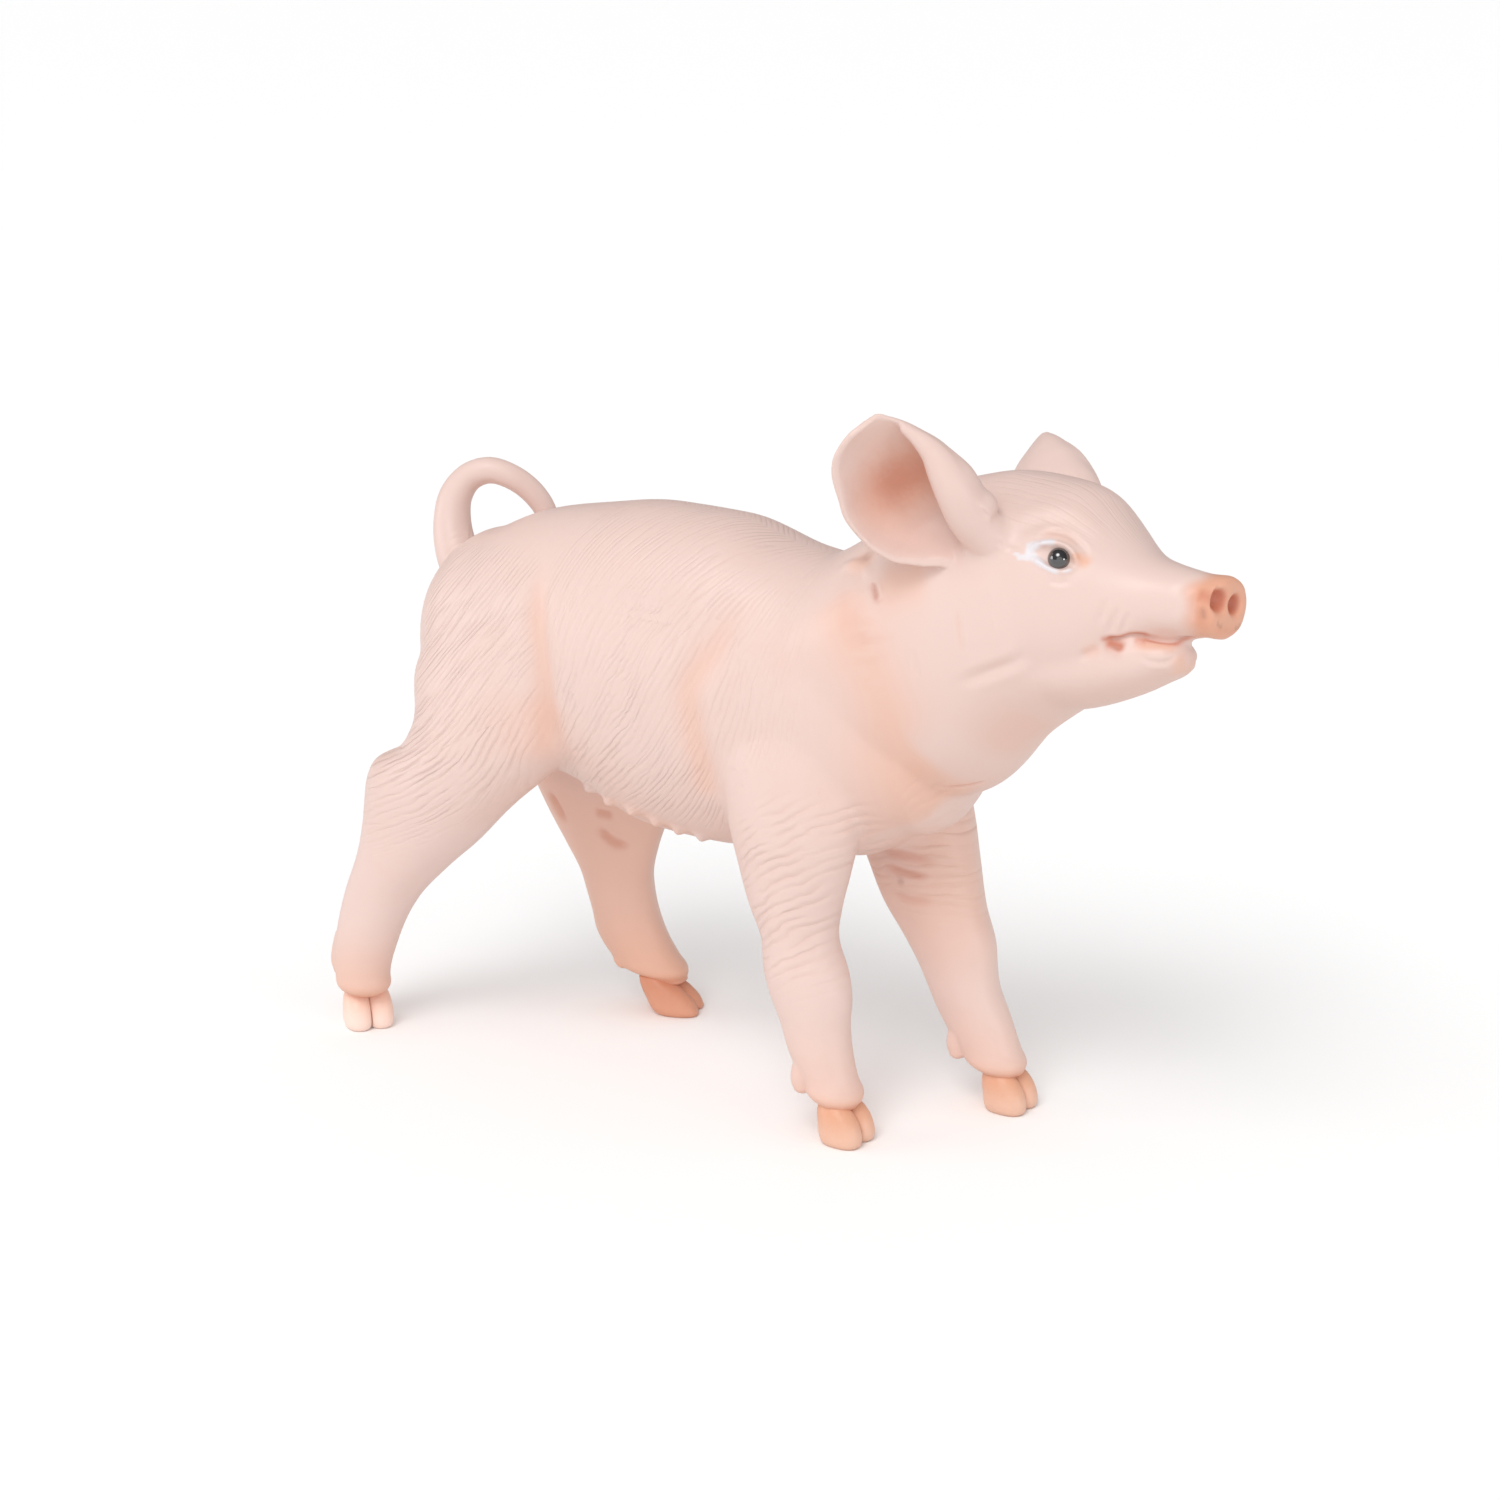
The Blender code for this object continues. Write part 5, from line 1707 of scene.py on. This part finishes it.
@dataclass(frozen=True)
class Coat:
    """The combed hair and the fine wrinkles of the whole piglet."""

    head: HeadFrame
    flank: Combing = Combing((
        (-7.0, 2.0, 58.0), (-4.0, 10.0, 44.0), (-10.0, 6.0, 55.0), (1.0, 12.0, 52.0),
        (-14.0, 12.0, 58.0), (-18.0, 15.0, 79.0), (-18.0, 22.0, 84.0), (-8.0, 20.0, 62.0),
        (-13.0, 29.0, 70.0), (-3.0, 26.0, 65.0), (9.0, 15.0, 67.0), (6.0, 23.0, 76.0),
        (9.0, 26.0, 85.0), (13.0, 17.0, 90.0), (-4.0, 30.0, 62.0), (-10.0, 35.0, 36.0),
        (-6.0, 38.0, 29.0), (-2.0, 33.0, 54.0), (1.0, 37.0, 76.0), (-8.0, 42.0, 25.0)))
    haunch: Combing = Combing((
        (-31.0, 11.0, 58.0), (-36.0, 17.0, 63.0), (-28.0, 14.0, 66.0), (-35.0, 28.0, 51.0),
        (-26.0, 27.0, 46.0), (-31.0, 30.0, 58.0), (-23.0, 35.0, 80.0), (-30.0, 35.0, 58.0),
        (-36.0, 40.0, 30.0), (-28.0, 38.0, 60.0), (-41.0, 42.0, 22.0)))
    wrinkles: tuple[Wrinkles, ...] = (
        Wrinkles(Hand.RIGHT, 30.0, 17.0, 43.5, 21.0, 0.75),
        Wrinkles(Hand.LEFT, 2.0, 23.0, 37.0, 29.0, 0.9))
    # The crease in front of the haunch: heights, and its x at each of them.
    crease: Rows = ((40.0, 45.0, 50.0, 56.0, 60.0, 65.0, 68.0, 74.0),
                    (-22.6, -21.2, -21.1, -21.5, -22.5, -23.1, -22.8, -20.0))
    # Where the hair ends below: x, and the height at each of them.
    hem: Rows = ((-50.0, -44.0, -36.0, -28.0, -20.0), (24.0, 25.0, 30.0, 34.0, 34.5))

    def comb(self, points: Array) -> tuple[Array, Array]:
        """Strand, place along it and crowding at each point, and how deep the hair is cut.

        Args:
            points: The skin's points.

        Returns:
            Three numbers and a depth from 0 to 1 for each point.
        """
        comb, depth = self._sides(points)
        patches = [self._brow(points), self._chest(points), *(leg.cut(points) for leg in self.wrinkles)]
        for own, share in patches:
            comb = np.where(share[:, None] > 0.0, own, comb)
            depth = np.where(share > 0.0, share, depth)
        return comb, depth

    def _sides(self, points: Array) -> tuple[Array, Array]:
        """The hair of flank and haunch, which part at the crease between them.

        Args:
            points: The skin's points.

        Returns:
            Three comb numbers and a depth, a product of steps, for each point.
        """
        x, y, z = points.T
        places = np.stack([x, girth(points)], 1)
        crease = np.interp(z, *self.crease)
        hem = np.interp(x, *self.hem)
        behind = x < crease
        low_down = np.maximum(smooth(z, 52.0, 42.0), 0.3 * smooth(z, 66.0, 54.0))
        depth = np.prod([
            0.46 + 0.34 * low_down * np.where(behind, 1.0, 0.8),
            # Shallower over the shoulder and along the back, none on the neck and below the hem.
            1.0 - 0.5 * smooth(x, 3.0, 11.0),
            1.0 - 0.5 * smooth(z, 70.0, 76.0),
            smooth(x, 19.0, 13.0),
            smooth(z, hem, hem + 5.0),
            # Hardly any in the crease, behind the elbow and where the flank's strokes meet.
            1.0 - 0.95 * bell(x, crease, np.where(z < 47.0, 2.0, 1.2)),
            1.0 - smooth(x, 1.5, 5.0) * smooth(z, 50.0, 45.0),
            1.0 - 0.95 * bell(x, -7.7, 3.4) * bell(z, 63.4, 4.0),
            # Fading over the hock, under the belly, on top of the rump and at the tail's root.
            1.0 - 0.5 * smooth(x, -38.0, -43.0) * smooth(z, 40.0, 34.0),
            np.where(z < 40.0, smooth(np.abs(y), 3.0, 6.0), 1.0),
            1.0 - 0.9 * smooth(z, 66.0, 69.0) * smooth(x, -21.0, -25.0),
            1.0 - smooth(x, -40.0, -47.0) * smooth(z, 50.0, 56.0),
        ], axis=0)
        return np.where(behind[:, None], self.haunch.read(places), self.flank.read(places)), depth

    def _brow(self, points: Array) -> tuple[Array, Array]:
        """Fine lines that run forward over the forehead.

        Args:
            points: The skin's points.

        Returns:
            Three comb numbers and a depth for each point.
        """
        ahead, left, top = self.head.to_head(points).T
        share = smooth(ahead, -11.0, -6.0) * smooth(ahead, 11.0, 6.0) * smooth(top, 5.0, 8.5)
        share = 0.3 * share * smooth(points[:, 0], 33.0, 36.0)
        return np.stack([9.5 * np.arctan2(left, top), ahead, np.full(len(ahead), -0.4)], 1), share

    def _chest(self, points: Array) -> tuple[Array, Array]:
        """Slanting strokes on the chest, either side of its middle.

        Args:
            points: The skin's points.

        Returns:
            Three comb numbers and a depth for each point.
        """
        x, y, z = points.T
        share = 0.5 * smooth(x, 26.2, 29.0) * smooth(x, 35.0, 31.5) * smooth(np.abs(y), 1.0, 3.0)
        share = share * smooth(z, 39.2, 41.5) * smooth(z, 48.5, 45.0)
        return np.stack([0.55 * (z - x) + 0.02 * (x - 27.0) ** 2, 0.9 * (x + z), 0.0 * x], 1), share


@dataclass
class Skin:
    """The whole soft body as one moulded skin, sculpted and painted."""

    body: Body
    head: Head
    legs: Sequence[Leg]
    ears: Sequence[Ear]
    tail: Tail
    face: Face
    folds: Folds
    place: Place
    # Grid step and softening passes of the first melt, and of the second, full and quick.
    coarse: tuple[float, int] = (0.5, 12)
    fine: tuple[float, int] = (0.2, 7)
    quick: tuple[float, int] = (0.35, 4)
    triangles: int = 197000
    first_cut: float = 2.6

    def build(self) -> bpy.types.Object:
        """Melts the forms together, sculpts the skin and brings it to its number of facets."""
        rolls = [ear.root_form() for ear in self.ears]
        forms = self.body.forms() + self.head.forms() + [leg.form() for leg in self.legs] + rolls
        core = make_object("skin", forms, self.place)
        melt(core, *self.coarse)
        melted = (read_points(core.data, self.place), read_triangles(core.data))
        bpy.data.meshes.remove(core.data)
        extra = [ear.form() for ear in self.ears] + [self.tail.form()] + rolls
        extra += [claw for leg in self.legs for claw in leg.dewclaws()]
        skin = make_object("skin", [melted, *extra], self.place)
        melt(skin, *self.fine)
        self._sculpt(skin.data)
        self._reduce(skin, int(self.first_cut * self.triangles), self.face.details)
        self._reduce(skin, self.triangles, self.face.front)
        soften_shading(skin.data)
        return skin

    def _reduce(self, skin: bpy.types.Object, target: int, spared: Callable[[Array], Array]) -> None:
        """Collapses edges until the mesh has a number of triangles.

        Args:
            skin: The skin; its mesh is replaced.
            target: How many triangles it keeps.
            spared: Says which points keep all of their triangles.
        """
        count = len(read_triangles(skin.data))
        if count <= target:
            return
        plain = ~spared(read_points(skin.data, self.place))
        group = skin.vertex_groups.new(name="plain")
        group.add(np.nonzero(plain)[0].tolist(), 1.0, "REPLACE")
        facet = skin.modifiers.new("facet", "DECIMATE")
        facet.ratio = target / count
        facet.vertex_group = "plain"
        settle(skin)
        skin.vertex_groups.clear()
        LOG.info("thinned from %d to %d faces", count, len(skin.data.polygons))

    def _sculpt(self, mesh: bpy.types.Mesh) -> None:
        """Presses the creases, lids, lips and nostrils into the melted form.

        Args:
            mesh: The skin's mesh, changed in place.
        """
        hide = Hide.of(mesh, self.place)
        moved = np.zeros_like(hide.points)
        for pit in self.face.hollows():
            pit.push(hide, moved)
        hide = replace(hide, points=hide.points + moved)
        depth = np.zeros(len(hide.points))
        for furrow in self.face.furrows() + self.folds.furrows():
            furrow.press(hide, depth)
        depth += self.folds.coronets(hide.points, self.legs)
        points = self.place.metres(hide.points - hide.normals * depth[:, None])
        mesh.vertices.foreach_set("co", points.ravel())
        mesh.update()

    def dress(self, skin: bpy.types.Object, finish: VinylFinish, groups: Groups) -> None:
        """Lays on the paint, the combing and the material, and stands for the flesh nodes.

        Args:
            skin: The skin.
            finish: Its painted vinyl.
            groups: Shared effects.
        """
        mesh = skin.data
        hide = Hide.of(mesh, self.place)
        cover = {paint: np.zeros(len(hide.points)) for paint in Paint}
        for spray in self.face.sprays() + self.folds.sprays():
            spray.lay(hide, cover)
        for painter in (self.face, self.folds, *self.ears):
            painter.tint(hide, cover)
        comb, depth = Coat(self.head.where).comb(hide.points)
        depth = depth * (1.0 - self._on_ears(hide.points))
        # Apricot here includes painted shade under the belly and the right ear; the hair's depth also
        # darkens its grooves as painted shade.
        write_colour(mesh, "sprayed", [cover[k] for k in (Paint.APRICOT, Paint.ORANGE, Paint.BROWN)])
        write_colour(mesh, "brushed", [cover[Paint.WHITE], cover[Paint.RED], depth])
        write_vector(mesh, "comb", comb)
        mesh.materials.append(finish.build(groups))
        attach(skin, "root")
        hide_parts("trunk", "neck", "head", "snout", "ear_left", "ear_right", "tail_root",
                    "tail_end", "leg_front_left", "leg_front_right", "leg_hind_left",
                    "leg_hind_right")

    def _on_ears(self, points: Array) -> Array:
        """1 where a point is on an ear or the tail, 0 elsewhere."""
        on_tail = (points[:, 0] < -33.0) & (points[:, 2] > 68.0)
        return np.max([on_tail, *(ear.share(points) for ear in self.ears)], axis=0)


@dataclass
class Eyes:
    """Two glossy beads set in the head."""

    head: Head
    place: Place
    radius: float = 1.28

    def build(self) -> list[bpy.types.Object]:
        """Both beads, each with a rim attribute, 0 in the middle of its outer side."""
        made = []
        for hand in (Hand.RIGHT, Hand.LEFT):
            x, y, z = self.head.bead_at
            centre = self.head.where.to_body([(x, hand.value * y, z)])[0]
            surface = self._ball(centre)
            bead = make_object(f"eye_{hand.name.lower()}_bead", [surface], self.place)
            # The rim is 0 on the bead's outer face, where the grey is partly painted reflection.
            out = self.head.where.axes() @ unit(np.array([0.42, hand.value * 0.85, 0.22]))
            rim = smooth(unit(surface[0] - centre) @ out, 0.97, 0.78)
            write_colour(bead.data, "rim", [rim] * 3)
            made.append(bead)
        return made

    def _ball(self, centre: Array, around: int = 64, rows: int = 31) -> Surface:
        """A ball of centre + r (cos e cos a, cos e sin a, sin e), its poles closed by fans.

        Args:
            centre: Its middle.
            around: Points in each of its level rings.
            rows: How many rings.

        Returns:
            Its points and triangles.
        """
        rise = np.linspace(-pi / 2, pi / 2, rows + 2)[1:-1, None]
        turn = (2 * pi * np.arange(around) / around)[None, :]
        ring = np.stack([np.cos(rise) * np.cos(turn), np.cos(rise) * np.sin(turn),
                         np.sin(rise) * np.ones_like(turn)], -1)
        points = np.concatenate([ring.reshape(-1, 3), [[0, 0, -1.0], [0, 0, 1.0]]])
        return centre + self.radius * points, outward(points, ring_faces(rows, around))

    def dress(self, beads: Sequence[bpy.types.Object], finish: EyeFinish, groups: Groups) -> None:
        """Gives the beads their paint and their places in the frame.

        Args:
            beads: Both eyes, the right one first.
            finish: Their gloss paint.
            groups: Shared effects.
        """
        material = finish.build(groups)
        for bead, node in zip(beads, ("eye_right", "eye_left")):
            bead.data.materials.append(material)
            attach(bead, "root")
            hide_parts(node)


@dataclass
class Trotters:
    """The eight claws that the piglet stands on."""

    place: Place
    apart: float = 2.8
    splay: float = 3.0
    claw: Rows = (
        (0.35, 0.0, 0.0, 1.45, 2.45, 2.2, 2.3), (0.35, 0.0, 0.35, 1.75, 2.8, 2.5, 2.3),
        (0.25, 0.0, 1.4, 1.95, 3.0, 2.75, 2.2), (0.0, 0.0, 2.8, 1.9, 2.85, 2.7, 2.1),
        (-0.4, 0.0, 4.0, 1.7, 2.45, 2.4, 2.1), (-0.8, 0.0, 5.0, 1.3, 1.8, 1.9, 2.0))
    # Name, middle of the pair, how far it is turned out, length over the standard, and rake.
    stands: tuple[tuple[str, float, float, float, float, float], ...] = (
        ("front_right", 20.6, -11.3, -2.0, 1.0, 0.0),
        ("front_left", 32.8, 8.6, -2.0, 1.0, 0.0),
        ("hind_right", -53.6, -11.5, -36.0, 0.95, 0.0),
        ("hind_left", -21.2, 14.8, 20.0, 1.18, 0.32),
    )

    def build(self) -> list[bpy.types.Object]:
        """All eight claws, named as their nodes with _claw added."""
        made = []
        for name, x, y, turn, length, rake in self.stands:
            for word, side in (("outer", -1.0), ("inner", 1.0)):
                points, faces = self._claw(side if name.endswith("right") else -side, length, rake)
                surface = (turned(points, turn) + np.array([x, y, 0.0]), faces)
                made.append(make_object(f"hoof_{name}_{word}_claw", [surface], self.place))
        return made

    def _claw(self, side: float, length: float, rake: float) -> Surface:
        """One claw of a pair: level slices over a small flat sole, its inner face flattened.

        Args:
            side: 1 for the claw to the left of the cleft, -1 for the right one.
            length: Its length over the standard one.
            rake: How far back it leans, for each millimetre of height.

        Returns:
            The claw about the middle of its pair, toes ahead.
        """
        rows = tuple((x * length - rake * z, y, z, wide, toe * length - 0.5 * rake * z,
                      heel * length, power) for x, y, z, wide, toe, heel, power in self.claw)
        points, faces = Loft(rows, AHEAD, (0.0, 0.5), around=48, pace=0.3, plane=LEVEL).surface()
        points = turned(points, side * self.splay)
        points[:, 1] += side * self.apart / 2
        cleft = 0.03 + 0.10 * smooth(np.abs(points[:, 0]), 1.2, 3.0)
        inner = side * points[:, 1]
        inner = np.where(inner < cleft, cleft + 0.08 * (inner - cleft), inner)
        points[:, 1] = side * np.maximum(inner, 0.02)
        return points, faces

    def dress(self, claws: Sequence[bpy.types.Object], finish: HoofFinish, groups: Groups) -> None:
        """Gives the claws their paint and their places in the frame.

        Args:
            claws: The eight claws.
            finish: The paint of the front pairs; the hind pairs have paler and deeper ones.
            groups: Shared effects.
        """
        front, paler, deeper = (kind.build(groups) for kind in (finish, finish.paler(), finish.deeper()))
        others = {"hind_right": paler, "hind_left": deeper}
        for claw in claws:
            stand = "_".join(claw.name.split("_")[1:3])
            claw.data.materials.append(others.get(stand, front))
            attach(claw, "root")
            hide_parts(claw.name.removesuffix("_claw"))


@dataclass
class Studio:
    """A pale floor, soft light and the camera."""

    place: Place
    azimuth: float = 32.0
    elevation: float = 16.0
    distance: float = 375.0
    target: Point = (0.0, 0.0, 43.75)
    lens: float = 72.0
    sensor: float = 36.0
    ambient: float = 0.7
    mirrored_ambient: float = 0.2
    floor_half: float = 12.0
    # Each distant lamp: direction towards it, strength, and its disc's width in degrees.
    lamps: tuple[tuple[str, Point, float, float], ...] = (
        ("above", (0.06, -0.62, 0.78), 0.62, 38.0),
        ("catchlight", (0.06, -0.62, 0.78), 0.55, 25.0),
        ("left", (-0.85, -0.53, 0.10), 0.75, 34.0),
        ("right", (0.98, -0.22, 0.05), 0.45, 18.0),
        ("front", (0.50, -0.83, 0.08), 0.5, 60.0),
    )

    def build(self) -> None:
        """Floor, world light, lamps and camera."""
        bpy.context.scene.view_settings.view_transform = "Standard"
        self._floor()
        self._world()
        for name, towards, strength, spread in self.lamps:
            lamp = bpy.data.lights.new(name, "SUN")
            lamp.energy = strength
            lamp.angle = radians(spread)
            self._turned_to(linked(name, lamp), towards)
        self._camera()

    def _turned_to(self, made: bpy.types.Object, back: Sequence[float]) -> None:
        """Turns a lamp or camera so that its back faces a direction."""
        made.rotation_euler = Vector(back).to_track_quat("Z", "Y").to_euler()

    def _floor(self) -> None:
        """A wide level sheet under the soles."""
        half = self.floor_half
        mesh = bpy.data.meshes.new("floor")
        corners = [(-half, -half, 0.0), (half, -half, 0.0), (half, half, 0.0), (-half, half, 0.0)]
        mesh.from_pydata(corners, [], [(0, 1, 2, 3)])
        mesh.materials.append(FloorFinish().build())
        floor = linked("floor", mesh)

    def _world(self) -> None:
        """Even white light from all round, dimmer in gloss, and white behind the floor's edge."""
        world = bpy.data.worlds.new("studio")
        world.use_nodes = True
        shop = Shop(world.node_tree)
        path = shop.node("ShaderNodeLightPath").outputs
        seen = shop.math("MULTIPLY", path["Is Camera Ray"], 1.0 - self.ambient)
        dimmed = shop.math("MULTIPLY", path["Is Glossy Ray"], self.ambient - self.mirrored_ambient)
        strength = shop.math("SUBTRACT", shop.math("ADD", self.ambient, seen), dimmed)
        background = world.node_tree.nodes["Background"]
        shop.fill(background, {"Color": (1.0, 1.0, 1.0, 1.0), "Strength": strength})
        bpy.context.scene.world = world

    def _camera(self) -> None:
        """A camera at the given angle and distance, looking at the target."""
        a = radians(self.azimuth)
        e = radians(self.elevation)
        back = np.array([sin(a) * cos(e), -cos(a) * cos(e), sin(e)])
        lens = bpy.data.cameras.new("camera")
        lens.lens = self.lens
        lens.sensor_width = self.sensor
        camera = linked("camera", lens)
        camera.location = self.place.metres(np.asarray(self.target) + self.distance * back)
        self._turned_to(camera, back)
        bpy.context.scene.camera = camera


def main() -> None:
    """Builds the sub-assemblies in order."""
    logging.basicConfig(level=logging.INFO, format="%(name)s: %(message)s")
    head = Head()
    x, y, z = head.eye_at
    place = Place.from_eye(head.where, (x, -y, z))
    LOG.info("shift %s", place.shift)
    groups = Groups(combed_lines(), hand_mottle())
    Studio(place).build()
    body = Skin(Body(), head, LEGS, EARS, Tail(), Face(head), Folds(), place)
    skin = body.build()
    body.dress(skin, VinylFinish(), groups)
    LOG.info("skin: %d points", len(skin.data.vertices))
    eyes = Eyes(head, place)
    beads = eyes.build()
    eyes.dress(beads, EyeFinish(), groups)
    LOG.info("eyes: %d beads", len(beads))
    trotters = Trotters(place)
    claws = trotters.build()
    trotters.dress(claws, HoofFinish(), groups)
    LOG.info("trotters: %d claws", len(claws))


if __name__ == "__main__":
    main()
